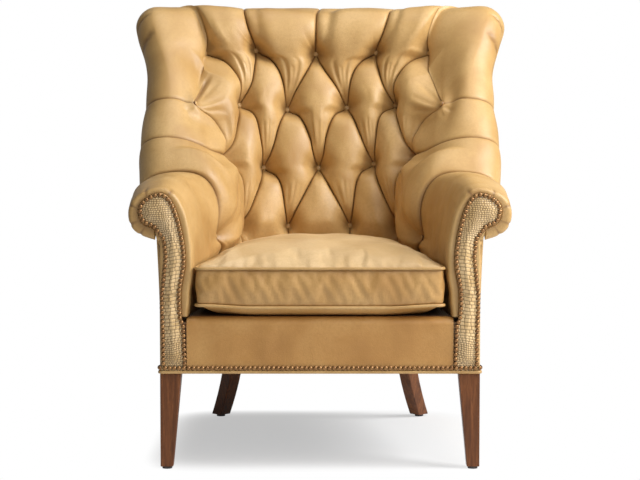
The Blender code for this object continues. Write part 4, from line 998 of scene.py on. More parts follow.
def wood_material(name, tones, roughness, grain_axis):
    """Wood in a dark, a middle and a light tone, with bands and pores drawn out along the grain's axis."""
    dark, middle, light = tones
    material, shader = new_material(name, roughness)
    stretch = [1.0, 1.0, 1.0]
    stretch[grain_axis] = 0.06
    place = object_place(material, stretch)
    bands = noise(material, place, 70.0, 4.0, 1.6)
    tone = colour_ramp(material, bands, ((0.30, dark), (0.52, middle), (0.72, light)))
    pores = noise(material, place, 900.0, 2.0)
    streak = colour_ramp(material, pores, ((0.36, (0.65,) * 3), (0.50, (0, 0, 0))))
    tone = mixed(material, streak, tone, dark)
    limits = (roughness - 0.05, roughness + 0.09)
    apply_finish(material, shader, tone, bands, limits, ((pores, 0.00015),))
    return material


def woven_material(name, dark, light, threads):
    """Plain weave, with threads per metre along both ways."""
    material, shader = new_material(name, 0.9)
    place = object_place(material)
    heights = []
    for direction in ("X", "Y"):
        wave = add_node(material, "ShaderNodeTexWave", Scale=threads / 10, Distortion=0.4)
        wave.bands_direction = direction
        link(material, place, wave.inputs["Vector"])
        heights.append(wave.outputs["Fac"])
    weave = add_node(material, "ShaderNodeMath")
    weave.operation = "MULTIPLY"
    link(material, heights[0], weave.inputs[0])
    link(material, heights[1], weave.inputs[1])
    tone = colour_ramp(material, weave.outputs["Value"], ((0.1, dark), (0.7, light)))
    link(material, tone, shader.inputs["Base Color"])
    bumped(material, shader, ((weave.outputs["Value"], 0.0004),))
    return material


def speckled_material(name, dark, light, roughness, metallic, scale):
    """Plain metal or plastic with a fine uneven surface."""
    material, shader = new_material(name, roughness, metallic)
    grain = noise(material, object_place(material), scale, 4.0)
    tone = colour_ramp(material, grain, ((0.35, dark), (0.65, light)))
    limits = (roughness - 0.06, roughness + 0.1)
    apply_finish(material, shader, tone, grain, limits, ((grain, 0.0001),))
    return material


# Each leather's last colour is the colour of its painted shade
LEATHER = leather_material(
    "leather_finish",
    dark=(0.46, 0.262, 0.085),
    middle=(0.555, 0.342, 0.125),
    light=(0.64, 0.415, 0.172),
    crease_shade=(0.15, 0.055, 0.012),
)
WELT_LEATHER = leather_material(
    "leather_welt_finish",
    dark=(0.44, 0.25, 0.08),
    middle=(0.54, 0.325, 0.115),
    light=(0.62, 0.395, 0.16),
    crease_shade=(0.15, 0.06, 0.014),
)
# A darker, more saturated copy of the leather, as painted shade on the upright front border
SHADED_BORDER_LEATHER = leather_material(
    "leather_front_painted_shade_finish",
    dark=(0.40, 0.190, 0.045),
    middle=(0.485, 0.243, 0.064),
    light=(0.56, 0.305, 0.094),
    crease_shade=(0.13, 0.05, 0.012),
)
# A lighter, paler copy of the leather, as painted sheen on the cushion's upward top
SHEEN_SEAT_LEATHER = leather_material(
    "leather_seat_painted_sheen_finish",
    dark=(0.55, 0.355, 0.155),
    middle=(0.665, 0.46, 0.23),
    light=(0.74, 0.53, 0.29),
    crease_shade=(0.16, 0.065, 0.016),
)
# A darker, more saturated copy of the leather, as painted shade on the cushion's upright boxing
SHADED_BOXING_LEATHER = leather_material(
    "leather_boxing_painted_shade_finish",
    dark=(0.43, 0.225, 0.064),
    middle=(0.525, 0.295, 0.095),
    light=(0.605, 0.36, 0.13),
    crease_shade=(0.16, 0.065, 0.016),
)
EMBOSSED = embossed_material()
BRONZE = bronze_material()
WALNUT_TONES = ((0.095, 0.030, 0.008), (0.185, 0.062, 0.018), (0.265, 0.098, 0.033))
BEECH_TONES = ((0.34, 0.20, 0.10), (0.47, 0.30, 0.16), (0.56, 0.38, 0.22))
WALNUT = wood_material("walnut_finish", WALNUT_TONES, 0.36, grain_axis=2)
WALNUT.node_tree.nodes["Principled BSDF"].inputs["Specular IOR Level"].default_value = 0.3
BEECH_UP = wood_material("frame_wood_finish", BEECH_TONES, 0.6, grain_axis=2)
BEECH_ACROSS = wood_material("frame_rail_finish", BEECH_TONES, 0.6, grain_axis=0)
BEECH_ALONG = wood_material("frame_side_finish", BEECH_TONES, 0.6, grain_axis=1)
STEEL = speckled_material("spring_steel_finish", (0.24, 0.24, 0.25), (0.42, 0.42, 0.43), 0.35, 1.0, 300.0)
CANVAS = woven_material("deck_canvas_finish", (0.16, 0.12, 0.08), (0.36, 0.30, 0.22), 700)
CAMBRIC = woven_material("dust_cloth_finish", (0.008, 0.008, 0.008), (0.035, 0.035, 0.035), 1100)
NYLON = speckled_material("glide_nylon_finish", (0.035, 0.03, 0.03), (0.07, 0.06, 0.055), 0.45, 0.0, 500.0)


# Pieces
def outward_mesh(name, points, faces):
    """A closed mesh whose faces point out."""
    mesh = bpy.data.meshes.new(name)
    mesh.from_pydata(points.tolist(), [], [tuple(face) for face in faces])
    bm = bmesh.new()
    bm.from_mesh(mesh)
    bmesh.ops.recalc_face_normals(bm, faces=bm.faces[:])
    if bm.calc_volume(signed=True) < 0:
        bmesh.ops.reverse_faces(bm, faces=bm.faces[:])
    bm.to_mesh(mesh)
    bm.free()
    return mesh


def settled(points, faces, pinned, slack, pressure, cap):
    """Points of a leather case after its filling has pushed it out as cloth, held where it is sewn.

    The leather is cut larger than its case by the slack, and no point moves further than its cap.
    """
    scene = bpy.context.scene
    case = bpy.data.objects.new("settling_case", outward_mesh("settling_case", points, faces))
    scene.collection.objects.link(case)
    sewn = case.vertex_groups.new(name="sewn")
    sewn.add(np.flatnonzero(pinned).tolist(), 1.0, "REPLACE")
    cloth = case.modifiers.new("cloth", "CLOTH")
    cloth.settings.quality = 6
    cloth.settings.mass = 0.3
    cloth.settings.tension_stiffness = 30
    cloth.settings.compression_stiffness = 20
    cloth.settings.shear_stiffness = 10
    cloth.settings.bending_stiffness = 0.6
    cloth.settings.vertex_group_mass = "sewn"
    cloth.settings.shrink_min = -slack
    cloth.settings.use_pressure = True
    cloth.settings.uniform_pressure_force = pressure
    cloth.settings.effector_weights.gravity = 0
    cloth.collision_settings.use_collision = False
    for step in range(1, SETTLING_FRAMES + 1):
        scene.frame_set(step)
    result = case.evaluated_get(bpy.context.evaluated_depsgraph_get()).data
    places = np.zeros(3 * len(points))
    result.vertices.foreach_get("co", places)
    move = places.reshape(-1, 3) - points
    scene.frame_set(1)
    bpy.data.objects.remove(case)
    length = np.linalg.norm(move, axis=1, keepdims=True)
    return points + move * np.minimum(1, cap[:, None] / np.maximum(length, 1e-9))


def add_piece(name, points, faces, material, body, replaces=(), crease_shade=None, sharp=None):
    """A closed mesh as a piece on a body, with smooth shading apart from the sharp corners' edges."""
    points = np.array(points, float)
    points[:, 1] += DEPTH_TO_Y
    mesh = outward_mesh(name, points, faces)
    mesh.polygons.foreach_set("use_smooth", np.ones(len(mesh.polygons), bool))
    # Painted shade per point, kept as an attribute that the finishes darken by
    if crease_shade is not None:
        depth = np.zeros(len(points))
        depth[: len(crease_shade)] = crease_shade
        mesh.attributes.new("crease_shade", "FLOAT", "POINT").data.foreach_set("value", depth)
    if sharp is not None:
        corners = np.zeros(2 * len(mesh.edges), np.int32)
        mesh.edges.foreach_get("vertices", corners)
        corners = corners.reshape(-1, 2)
        marked = np.zeros(len(points), bool)
        marked[: len(sharp)] = sharp
        edge = marked[corners[:, 0]] & marked[corners[:, 1]]
        mesh.attributes.new("sharp_edge", "BOOLEAN", "EDGE").data.foreach_set("value", edge)
    mesh.materials.append(material)
    piece = bpy.data.objects.new(name, mesh)
    bpy.context.scene.collection.objects.link(piece)
    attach(piece, body)
    if replaces:
        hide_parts(*replaces)
    return piece


def sharpen_by_angle(piece, degrees):
    """Keep the hard edges of a piece crisp under smooth shading."""
    piece.data.set_sharp_from_angle(angle=math.radians(degrees))


def ring_faces(count, size, closed):
    """Quads between rings of points, given one ring after another."""
    faces = []
    for k in range(count if closed else count - 1):
        first = k * size
        second = (k + 1) % count * size
        for i in range(size):
            j = (i + 1) % size
            faces.append((first + i, first + j, second + j, second + i))
    return faces


def dome_faces(count, size):
    """Faces of rings that start from a flat bottom and close in the point that follows the last ring."""
    faces = ring_faces(count, size, False)
    last = (count - 1) * size
    for k in range(size):
        faces.append((last + k, last + (k + 1) % size, count * size))
    faces.append(tuple(range(size))[::-1])
    return faces


def sheet_faces(count, depth):
    """Quads of a grid of points, and the points round its edge in order."""
    number = np.arange(count * depth).reshape(count, depth)
    quads = np.stack([number[:-1, :-1], number[1:, :-1], number[1:, 1:], number[:-1, 1:]], -1)
    border = np.concatenate([number[:-1, 0], number[-1, :-1], number[:0:-1, -1], number[0, :0:-1]])
    return quads.reshape(-1, 4), border.tolist()


def filled_faces(flat, count):
    """Triangles over points on a plane, inside the outline that the first of them, a count, run round."""
    filled = delaunay_2d_cdt([Vector(place) for place in flat], [], [list(range(count))], 1, 1e-7)
    source = [origin[0] for origin in filled[3]]
    return [[source[k] for k in face] for face in filled[2]]


def close_behind(border, flat, start):
    """Faces that close a sheet: walls from its border to the points behind it, and the face between those.

    The first points behind lie behind the border's, and flat holds the places of all of them on a plane.
    """
    faces = [[start + k for k in face] for face in filled_faces(flat, len(border))]
    for k in range(len(border)):
        m = (k + 1) % len(border)
        faces.append([border[k], border[m], start + m, start + k])
    return faces


def border_loop(faces):
    """Corners round the edge of a sheet of triangles, in order."""
    edges = np.concatenate([faces[:, [0, 1]], faces[:, [1, 2]], faces[:, [2, 0]]])
    _, first, count = np.unique(np.sort(edges, axis=1), axis=0, return_index=True, return_counts=True)
    follow = {int(a): int(b) for a, b in edges[first[count == 1]]}
    loop = [next(iter(follow))]
    while follow[loop[-1]] != loop[0]:
        loop.append(follow[loop[-1]])
    return loop


# Tufted back and wings
def zigzag(row):
    """Column at which the wing leather is sewn to the back, along the pleats."""
    fold = 3.0 + np.minimum(row % 2, 2 - row % 2)
    return np.where(row <= 1, 4.0, np.where(row >= LAST_ROW, 3.0, fold))


def lattice():
    """Corners of the fine lattice as (column, row), its triangles along the pleats, and their middles."""
    across = np.arange(-TUCK_COLUMN * LATTICE_STEPS, TUCK_COLUMN * LATTICE_STEPS + 1)
    down = np.arange(TUCK_ROW * LATTICE_STEPS, (LAST_ROW + 1) * LATTICE_STEPS + 1)
    column, row = np.meshgrid(across / LATTICE_STEPS, down / LATTICE_STEPS, indexing="ij")
    i, j = np.meshgrid(across[:-1], down[:-1], indexing="ij")
    i = i.ravel()
    j = j.ravel()
    a = (i - across[0]) * len(down) + j - down[0]
    b = a + len(down)
    c = b + 1
    d = a + 1
    falls_right = ((i // LATTICE_STEPS + j // LATTICE_STEPS) % 2 == 1)[:, None]
    first = np.where(falls_right, np.stack([a, b, c], -1), np.stack([a, b, d], -1))
    second = np.where(falls_right, np.stack([a, c, d], -1), np.stack([b, c, d], -1))
    corners = np.stack([column.ravel(), row.ravel()], -1)
    triangles = np.concatenate([first, second])
    return corners, triangles, corners[triangles].mean(axis=1)


def stretched_row(row):
    """The rows below the last buttons are stretched down to the deck."""
    return np.where(row <= LAST_ROW, row, LAST_ROW + (row - LAST_ROW) * (BOTTOM_ROW - LAST_ROW))


def on_pleat(column, row):
    point = np.stack([column, row], -1) * LATTICE_SCALE
    found = np.zeros(len(column), bool)
    for start, end in pleat_lines():
        found |= line_distance(point, start, end)[0] < 1e-6
    return found


def tufted_piece(name, keep, sew):
    """One leather of the tufted back, where keep(column, row) holds. sew moves its seam clear of the next."""
    corners, triangles, middles = lattice()
    triangles = triangles[keep(middles[:, 0], middles[:, 1])]
    used, triangles = np.unique(triangles, return_inverse=True)
    triangles = triangles.reshape(-1, 3)
    column, row = corners[used].T
    pleat = on_pleat(column, row)
    column, row = sew(column, stretched_row(row))
    points, crease_shade = leather_surface(column, row)
    border = border_loop(triangles)
    flat = [(column[k], row[k]) for k in border]
    around = 0.1 * np.array([(-1, -1), (-1, 1), (1, -1), (1, 1)])
    for inner_column in FULL_COLUMNS[1:-1]:
        for inner_row in np.concatenate([NET_ROWS[:-1], np.arange(1.5, LAST_ROW)]):
            near = np.array([inner_column, inner_row]) + around
            if keep(near[:, 0], near[:, 1]).all():
                flat.append((inner_column, inner_row))
    flat = np.array(flat)
    behind = net_surface(INNER_NET, flat[:, 0], flat[:, 1], chords)
    faces = triangles.tolist() + close_behind(border, flat * LATTICE_SCALE, len(points))
    points = np.concatenate([points, behind])
    # The leather's painted shade goes onto the piece as a point attribute
    piece = add_piece(name + "_leather", points, faces, LEATHER, "chair", [name], crease_shade, pleat)


COLUMN_SEAM = SEAM / 2 / COLUMN_PITCH
ROW_SEAM = SEAM / 2 / ROW_PITCH


def sew_back(column, row):
    seam = np.abs(np.abs(column) - zigzag(row)) < 1e-6
    return column - seam * np.sign(column) * COLUMN_SEAM, row


def sew_wing(column, row):
    outward = np.sign(column)
    seam = np.abs(np.abs(column) - zigzag(row)) < 1e-6
    at_arm = (np.abs(np.abs(column) - LAST_COLUMN) < 1e-6) & (row >= LAST_ROW - 1e-6)
    over_arm = (np.abs(column) > LAST_COLUMN + 1e-6) & (np.abs(row - LAST_ROW) < 1e-6)
    column = column + outward * COLUMN_SEAM * (seam.astype(float) - at_arm)
    return column, row - over_arm * ROW_SEAM


def keep_wing(column, row, side):
    reach = np.where(row > LAST_ROW, LAST_COLUMN, TUCK_COLUMN)
    return (zigzag(row) < side * column) & (side * column < reach)


tufted_piece("inside_back", lambda column, row: np.abs(column) < zigzag(row), sew_back)
tufted_piece("left_wing", lambda column, row: keep_wing(column, row, -1), sew_wing)
tufted_piece("right_wing", lambda column, row: keep_wing(column, row, 1), sew_wing)


# Domed heads, for the tuft buttons and the nails
def dome(centre, outward, radius, height, turn, profile, segments):
    """Points and faces of a closed domed head on a surface, from rings of (radius share, height share)."""
    outward = unit(outward)
    side = unit(np.cross(outward, (0.3, 0.2, 0.9)))
    ahead = np.cross(outward, side)
    angles = turn + np.arange(segments) * 2 * math.pi / segments
    points = []
    for wide, high in profile:
        for angle in angles:
            reach = radius * wide * (math.cos(angle) * side + math.sin(angle) * ahead)
            points.append(centre + reach + outward * height * high)
    points.append(centre + outward * height)
    return np.array(points), dome_faces(len(profile), segments)


def heads_piece(name, heads, material, replaces, profile, segments):
    """Many domed heads as one piece. A head is (centre, outward, radius, height, turn)."""
    points = []
    faces = []
    shade = []
    count = 0
    # A darkening for each head's rim: painted shade where it meets the leather, on the nails also a darker
    # patina
    edge = [bell((1 - wide) / 0.08) for wide, _ in profile]
    for head in heads:
        more, more_faces = dome(*head, profile, segments)
        faces += [[count + k for k in face] for face in more_faces]
        points.append(more)
        shade += list(np.repeat(edge, segments)) + [0.0]
        count += len(more)
    return add_piece(name, np.concatenate(points), faces, material, "chair", replaces, np.array(shade))


def tuft_buttons():
    places = np.array(button_places(), float)
    points, _ = leather_surface(places[:, 0], places[:, 1])
    normals = leather_normal(places[:, 0], places[:, 1])
    heads = []
    for point, normal in zip(points, normals):
        heads.append((point + normal * BUTTON_LIFT, normal, BUTTON_RADIUS, BUTTON_HEIGHT, 0.0))
    heads_piece("tuft_buttons", heads, LEATHER, (), BUTTON_PROFILE, BUTTON_SEGMENTS)


tuft_buttons()


# Arms: sections from the pleat behind (0) to the scroll in front (1)
ARM_START = 4.0
ARM_SPAN = TUCK_COLUMN - ARM_START
ARM_COLUMNS = np.concatenate([[ARM_START, 4.5, 5.0], ROLL_COLUMNS])
ARM_GRID_COLUMNS = np.linspace(ARM_START, TUCK_COLUMN, 113)


def arm_section(share, padded):
    """Points and outward directions of the arm's section, from the deck over the roll to the tuck."""
    station = WING_STATIONS[0]
    rear_out, rear_crest = wing_frames()[0]
    centre = blend(wing_centre(station), arm_front_centre(), share)
    out = unit(blend(rear_out, (1, 0, 0), share))
    crest = unit(blend(rear_crest, (0, 0, 1), share))
    angles = roll_angles(blend(station[6], ARM_TUCK, share))
    radius = blend(station[4], ARM_ROLL_RADIUS, share) if padded else ROLL_HOLLOW
    fullness = blend(station[5], ARM_FULLNESS, share) if padded else 1.0
    roll = roll_points(centre, radius, out, crest, angles, fullness)
    rear = field_point(LAST_COLUMN, LAST_ROW)
    front_height = DECK_TOP + LOW_ROW_ABOVE_DECK - ARM_FACE_DROP
    front = np.array([SEAT_HALF_FRONT, arm_front_centre()[1], front_height])
    face = blend(rear, front, share)
    hollow = ARM_HOLLOW * share
    foot = np.array([face[0] + hollow, face[1], PAD_FOOT])
    waist = np.array([face[0] + hollow, face[1], blend(PAD_FOOT, face[2], 0.5)])
    inside = np.array([foot, waist, face])
    if not padded:
        inside[:, 0] = face[0] + ARM_PAD_THICKNESS
    directions = [-out] * 3
    directions += [-math.cos(angle) * out + math.sin(angle) * crest for angle in angles]
    return np.concatenate([inside, roll]), np.array(directions)


def arm_line(share, columns, padded, through):
    points, directions = arm_section(share, padded)
    return through(ARM_COLUMNS, points, columns), unit(spline(ARM_COLUMNS, directions, columns))


def arm_rear_gap(columns, padded):
    """From the arm's own rear section to the edge of the wing that it is sewn to."""
    drop = np.clip(5.0 - columns, 0, 1) * (BOTTOM_ROW - LAST_ROW)
    column = np.maximum(columns, LAST_COLUMN)
    if padded:
        return leather_surface(column, LAST_ROW + drop)[0] - arm_line(0, columns, True, spline)[0]
    edge = net_surface(INNER_NET, column, LAST_ROW + drop, chords)
    return edge - arm_line(0, columns, False, chords)[0]


def scroll_inset(columns):
    """How far in from the leather's edge the front panel starts, round the scroll."""
    inner, top, outer, under = SCROLL_INSET
    values = np.array([inner, inner, top, outer, under])
    return np.interp(columns, [ARM_START, 5.0, 6.2, 7.2, TUCK_COLUMN], values)


def arm_relief(columns, share, points):
    """Soft fullness of the arm's leather, its slack and the gathers that run to the scroll's front."""
    along = math.sin(math.pi * min(max(share, 0), 1)) ** 0.6
    across = np.sin(math.pi * np.clip((columns - ARM_START) / ARM_SPAN, 0, 1)) ** 0.5
    relief = ARM_PUFF * along * across + ARM_SLACK * along * ripple(points, 0.12, 11)
    front = smooth((share - 0.86) / 0.14)
    nosing_columns, nosing_reach = zip(*NOSING)
    relief += smooth((share - 0.88) / 0.09) * np.interp(columns, nosing_columns, nosing_reach)
    for gather in GATHERS:
        relief -= GATHER_DEPTH * front * bell((columns - gather) / GATHER_WIDTH)
    return relief


def arm_inner_points(flat, shares, depth):
    """Points of the arm's inner face, at shares of the way across and along the grid of its leather.

    Past the last section, where the leather turns over the front, they lie on the board behind the panel.
    """
    columns = ARM_GRID_COLUMNS
    rear_gap = arm_rear_gap(columns, False)
    row_shares = np.concatenate([shares, np.ones(depth - len(shares))])
    points = []
    for u, v in flat:
        row = v * (depth - 1)
        share = float(np.interp(row, np.arange(depth), row_shares))
        column = np.array([ARM_START + ARM_SPAN * u])
        if row > len(shares) - 0.5:
            line, directions = arm_line(share, column, True, spline)
            point = (line - directions * (scroll_inset(column) - SEAM)[:, None])[0]
            point[1] = FRONT_COVER + GAP
        else:
            gap = [np.interp(column[0], columns, rear_gap[:, k]) for k in range(3)]
            point = arm_line(share, column, False, chords)[0][0] + np.array(gap) * (1 - share) ** 4
        points.append(point)
    return points


def arm_piece(word, side):
    """An arm's leather: sections up to the scroll, the edge turned over its front, and the inner face."""
    columns = ARM_GRID_COLUMNS
    rear_gap = arm_rear_gap(columns, True)
    shares = np.linspace(0.0025, 1, ARM_SECTIONS)
    rows = []
    # Painted shade: darker in the gathers at the scroll, along the rear seam and where the edge turns under
    # the panel
    gathers = np.zeros(len(columns))
    for gather in GATHERS:
        gathers = np.maximum(gathers, bell((columns - gather) / GATHER_SHADE_WIDTH))
    shade_rows = []
    for share in shares:
        line, directions = arm_line(share, columns, True, spline)
        line = line + rear_gap * (1 - share) ** 4
        rows.append(line + directions * arm_relief(columns, share, line)[:, None])
        rear_seam_shade = 0.5 * bell(share / 0.02)
        shade_rows.append(gathers * smooth((share - 0.92) / 0.08) * 0.6 + rear_seam_shade)
    edge_line = rows[-1]
    reach = line[0, 1] - ARM_FRONT_DEPTH
    rounding = blend(INNER_EDGE, ARM_EDGE, smooth((columns - 5.0) / 1.0))[:, None]
    for angle in np.radians(np.linspace(9, 90, 10)):
        turned = edge_line - directions * rounding * (1 - math.cos(angle))
        rows.append(turned + FORWARD * reach * math.sin(angle))
        shade_rows.append(gathers * 0.7)
    inset_line = line - directions * (scroll_inset(columns) - SEAM)[:, None] + FORWARD * reach
    for share in (0.35, 0.7, 1.0):
        rows.append(blend(turned + FORWARD * reach, inset_line, share))
        shade_rows.append(gathers * 0.7 * (1 - share) + 0.5 * share)
    outer = np.stack(rows, axis=1)
    count, depth = outer.shape[:2]
    quads, border = sheet_faces(count, depth)
    flat = [(k // depth / (count - 1), k % depth / (depth - 1)) for k in border]
    for u in (ARM_COLUMNS[1:-1] - ARM_START) / ARM_SPAN:
        for v in (0.2, 0.4, 0.6, 0.75):
            flat.append((u, v))
    behind = arm_inner_points(flat, shares, depth)
    faces = quads.tolist() + close_behind(border, flat, count * depth)
    points = mirrored(np.concatenate([outer.reshape(-1, 3), behind]), side)
    crease_shade = np.stack(shade_rows, axis=1).reshape(-1)
    name = word + "_arm"
    piece = add_piece(name + "_leather", points, faces, LEATHER, "chair", [name], crease_shade)


for word, side in SIDES:
    arm_piece(word, side)


# Embossed front panels of the arms
def nail_line():
    """Line of nails on the right front panel: inside its edge, waisted down the outer side."""
    columns = np.linspace(ARM_START, TUCK_COLUMN, 61)
    line, directions = arm_line(1, columns, True, spline)
    inset = scroll_inset(columns) + NAIL_INSET
    edge = line - directions * inset[:, None]
    foot = BASE_Z + BASE_NAIL_RISE + NAIL_WIDTH
    path = [(PANEL_FOOT_INNER + NAIL_INSET, foot), (PANEL_FOOT_INNER + NAIL_INSET + 0.003, DECK_TOP - 0.02)]
    path += [(x, z) for x, _, z in edge]
    drop = edge[-1][2] - BASE_Z
    for share, inset in NAIL_WAIST:
        path.append((PANEL_FOOT_OUTER - inset, edge[-1][2] - share * drop))
    path.append((PANEL_FOOT_OUTER - NAIL_WAIST[-1][1], foot))
    return np.array(path)


def panel_outline():
    """Outline of the right front panel as (x, height): up its inner edge, round the scroll, down outside."""
    columns = np.linspace(ARM_START, TUCK_COLUMN, 65)
    line, directions = arm_line(1, columns, True, spline)
    edge = line - directions * scroll_inset(columns)[:, None]
    outline = [(PANEL_FOOT_INNER, BASE_Z)]
    outline += [(x, z) for x, _, z in edge]
    tuck = line[-1]
    outline.append((blend(edge[-1][0], PANEL_FOOT_OUTER, 0.55), tuck[2]))
    outline.append((PANEL_FOOT_OUTER, tuck[2] - 0.012))
    outline.append((PANEL_FOOT_OUTER, BASE_Z))
    return np.array(outline)


def inside_outline(points, outline, margin):
    """Which points lie inside an outline, at least a margin away from its edge."""
    inside = np.zeros(len(points), bool)
    nearest = np.full(len(points), np.inf)
    for first, second in zip(outline, np.roll(outline, -1, axis=0)):
        crosses = (first[1] > points[:, 1]) != (second[1] > points[:, 1])
        rise = second[1] - first[1] if abs(second[1] - first[1]) > 1e-12 else 1e-12
        at = first[0] + (points[:, 1] - first[1]) / rise * (second[0] - first[0])
        inside ^= crosses & (points[:, 0] < at)
        along = second - first
        share = np.clip(((points - first) @ along) / max(along @ along, 1e-12), 0, 1)
        away = np.linalg.norm(points - first - share[:, None] * along, axis=1)
        nearest = np.minimum(nearest, away)
    return inside & (nearest > margin)


def scale_rows():
    """Rows of embossed scales up the panel as (foot, how broad its scales are), and the last row's top."""
    rows = []
    height = BASE_Z - 0.01
    while height < ARM_ROLL_HEIGHT + 0.08:
        broad = smooth((height - BROAD_FROM) / BROAD_EASE) * smooth((BROAD_TO - height) / BROAD_EASE)
        rows.append((height, float(broad)))
        height += blend(*SCALE_ROW_HEIGHTS, broad)
    return rows, height


def scale_joints(random, middle, broad):
    """Places across a row where a scale ends: broad scales in the middle, small ones at the sides."""
    joints = []
    for way in (-1, 1):
        width = blend(*SCALE_WIDTHS, broad) * random.uniform(0.85, 1.15)
        at = middle + way * width * random.uniform(0.3, 0.7)
        while abs(at - middle) < 0.09:
            joints.append(at)
            width = max(LEAST_SCALE_WIDTH, width * blend(1.0, 0.80, broad))
            at += way * width * random.uniform(0.85, 1.15)
    return np.sort(joints)


def groove_distance(flat):
    """Distance of points on the panel from the nearest groove between its scales."""
    random = np.random.default_rng(5)
    middle = (PANEL_FOOT_INNER + PANEL_FOOT_OUTER) / 2
    rows, top = scale_rows()
    wavy = np.stack([flat[:, 0], np.zeros(len(flat)), flat[:, 1]], -1)
    bow = SCALE_ROW_BOW * np.sin((flat[:, 0] - middle) * 60)
    height = flat[:, 1] + SCALE_ROW_WANDER * ripple(wavy, 0.05, 51) + bow
    across = flat[:, 0] + SCALE_JOINT_WANDER * ripple(wavy, 0.03, 52)
    feet = np.array([foot for foot, _ in rows] + [top])
    in_row = np.clip(np.searchsorted(feet, height) - 1, 0, len(rows) - 1)
    away = np.zeros(len(flat))
    for k, (_, broad) in enumerate(rows):
        joints = scale_joints(random, middle, broad)
        here = in_row == k
        scale = np.clip(np.searchsorted(joints, across[here]), 1, len(joints) - 1)
        side = np.minimum(across[here] - joints[scale - 1], joints[scale] - across[here])
        end = np.minimum(height[here] - feet[k], feet[k + 1] - height[here])
        corner = np.hypot(np.maximum(SCALE_ROUND - side, 0), np.maximum(SCALE_ROUND - end, 0))
        away[here] = np.minimum(np.minimum(side, end), SCALE_ROUND - corner)
    return np.maximum(away, 0)


def panel_sheet():
    """Front face of the right panel: its points on the plane, how many lie on the edge, and its faces."""
    outline = panel_outline()
    edge = spaced(np.concatenate([outline, outline[:1]]), 520)[:-1]
    low = edge.min(axis=0)
    high = edge.max(axis=0)
    x, z = np.meshgrid(np.arange(low[0], high[0], SCALE_GRID), np.arange(low[1], high[1], SCALE_GRID))
    grid = np.stack([x.ravel(), z.ravel()], -1)
    grid = grid[inside_outline(grid, edge, SCALE_GRID * 0.6)]
    flat = np.concatenate([edge, grid])
    return flat, len(edge), filled_faces(flat, len(edge))


def panel_pieces():
    """Both front panels: raised scales inside the nails, and a plain rolled rim outside them."""
    flat, count, front_faces = panel_sheet()
    nails = nail_line()
    nails = np.concatenate([nails, [(nails[-1][0], BASE_Z - 0.01), (nails[0][0], BASE_Z - 0.01)]])
    scaled = inside_outline(flat, nails, 0.0)
    groove = np.minimum(groove_distance(flat), np.abs(flat[:, 1] - PANEL_SEAM_HEIGHT))
    nail_path = spaced(np.concatenate([nails, nails[:1]]), 400)
    inward = np.linalg.norm(flat[:, None] - nail_path[None], axis=2).min(axis=1)
    crown = PANEL_CROWN * np.sin(math.pi / 2 * np.minimum(inward / PANEL_CROWN_REACH, 1)) ** 1.5
    crown *= smooth((flat[:, 1] - BASE_Z - 0.014) / 0.03)
    relief = np.where(scaled, crown + SCALE_HEIGHT * smooth(groove / SCALE_SLOPE), 0.0)
    below_scroll = flat[:, 1] < ARM_ROLL_HEIGHT - ARM_ROLL_RADIUS
    roll = np.clip(1 - (PANEL_FOOT_OUTER - flat[:, 0]) / RIM_ROLL, 0, 1) * below_scroll
    relief -= RIM_ROLL * (1 - np.sqrt(1 - roll**2))
    relief[:count] = np.minimum(relief[:count], 0)
    # Painted shade in the grooves between the scales
    crease_shade = np.where(scaled, 1 - smooth(groove / GROOVE_SHADE_WIDTH), 0.0)
    front = np.stack([flat[:, 0], PANEL_SETBACK - relief, flat[:, 1]], -1)
    back = front[:count].copy()
    back[:, 1] = FRONT_COVER
    start = len(front)
    faces = list(front_faces)
    for k in range(count):
        m = (k + 1) % count
        faces.append([k, m, start + m, start + k])
    faces.append([start + k for k in range(count)])
    middles = np.array([flat[face].mean(axis=0) for face in front_faces])
    plain = np.ones(len(faces), np.int32)
    plain[: len(front_faces)] = ~inside_outline(middles, nails, 0.0)
    for word, side in SIDES:
        points = mirrored(np.concatenate([front, back]), side)
        name = word + "_arm_front_panel"
        piece = add_piece(name + "_leather", points, faces, EMBOSSED, "chair", [name], crease_shade)
        piece.data.materials.append(LEATHER)
        piece.data.polygons.foreach_set("material_index", plain)


panel_pieces()


# Nail heads
def nail_heads(path, outward, seed):
    """Heads set side by side along a line of points, each a little tilted and turned."""
    random = np.random.default_rng(seed)
    length = travelled(path)[-1]
    places = spaced(path, int(round(length / NAIL_PITCH)) + 1)
    heads = []
    for k, place in enumerate(places):
        out = unit(outward_at(path, outward, k / (len(places) - 1)))
        tilt = random.normal(scale=NAIL_TILT, size=3)
        radius = NAIL_RADIUS * random.uniform(0.97, 1.0)
        heads.append((place + out * GAP, unit(out + tilt), radius, NAIL_HEIGHT, random.uniform(0, 1)))
    return heads


def outward_at(path, outward, share):
    """Direction that a line's nails face at a share of its length."""
    length = travelled(path)
    return np.array([np.interp(share * length[-1], length, outward[:, k]) for k in range(3)])


def arm_nails(word, side):
    path = mirrored(nail_line(), side)
    path = np.stack([path[:, 0], np.zeros(len(path)), path[:, 1]], -1)
    heads = nail_heads(path, np.tile(FORWARD, (len(path), 1)), 20 + side)
    strip = word + "_arm_nail_strip"
    heads_piece(word + "_arm_nails", heads, BRONZE, [strip], NAIL_PROFILE, NAIL_SEGMENTS)


def side_line(depth, inset):
    """x of the base's side at a depth, measured in from the leather."""
    return FRONT_HALF_WIDTH - SIDE_SLOPE * depth - inset


def corner_arc(count):
    """Plan points round the rear corner, from the side to the back."""
    slope = math.atan(SIDE_SLOPE)
    depth = BASE_DEPTH - REAR_CORNER_RADIUS
    centre_x = side_line(depth, 0) - REAR_CORNER_RADIUS / math.cos(slope)
    turns = np.linspace(slope, math.pi / 2, count)
    reach = REAR_CORNER_RADIUS * np.stack([np.cos(turns), np.sin(turns)], -1)
    return np.array([centre_x, depth]) + reach


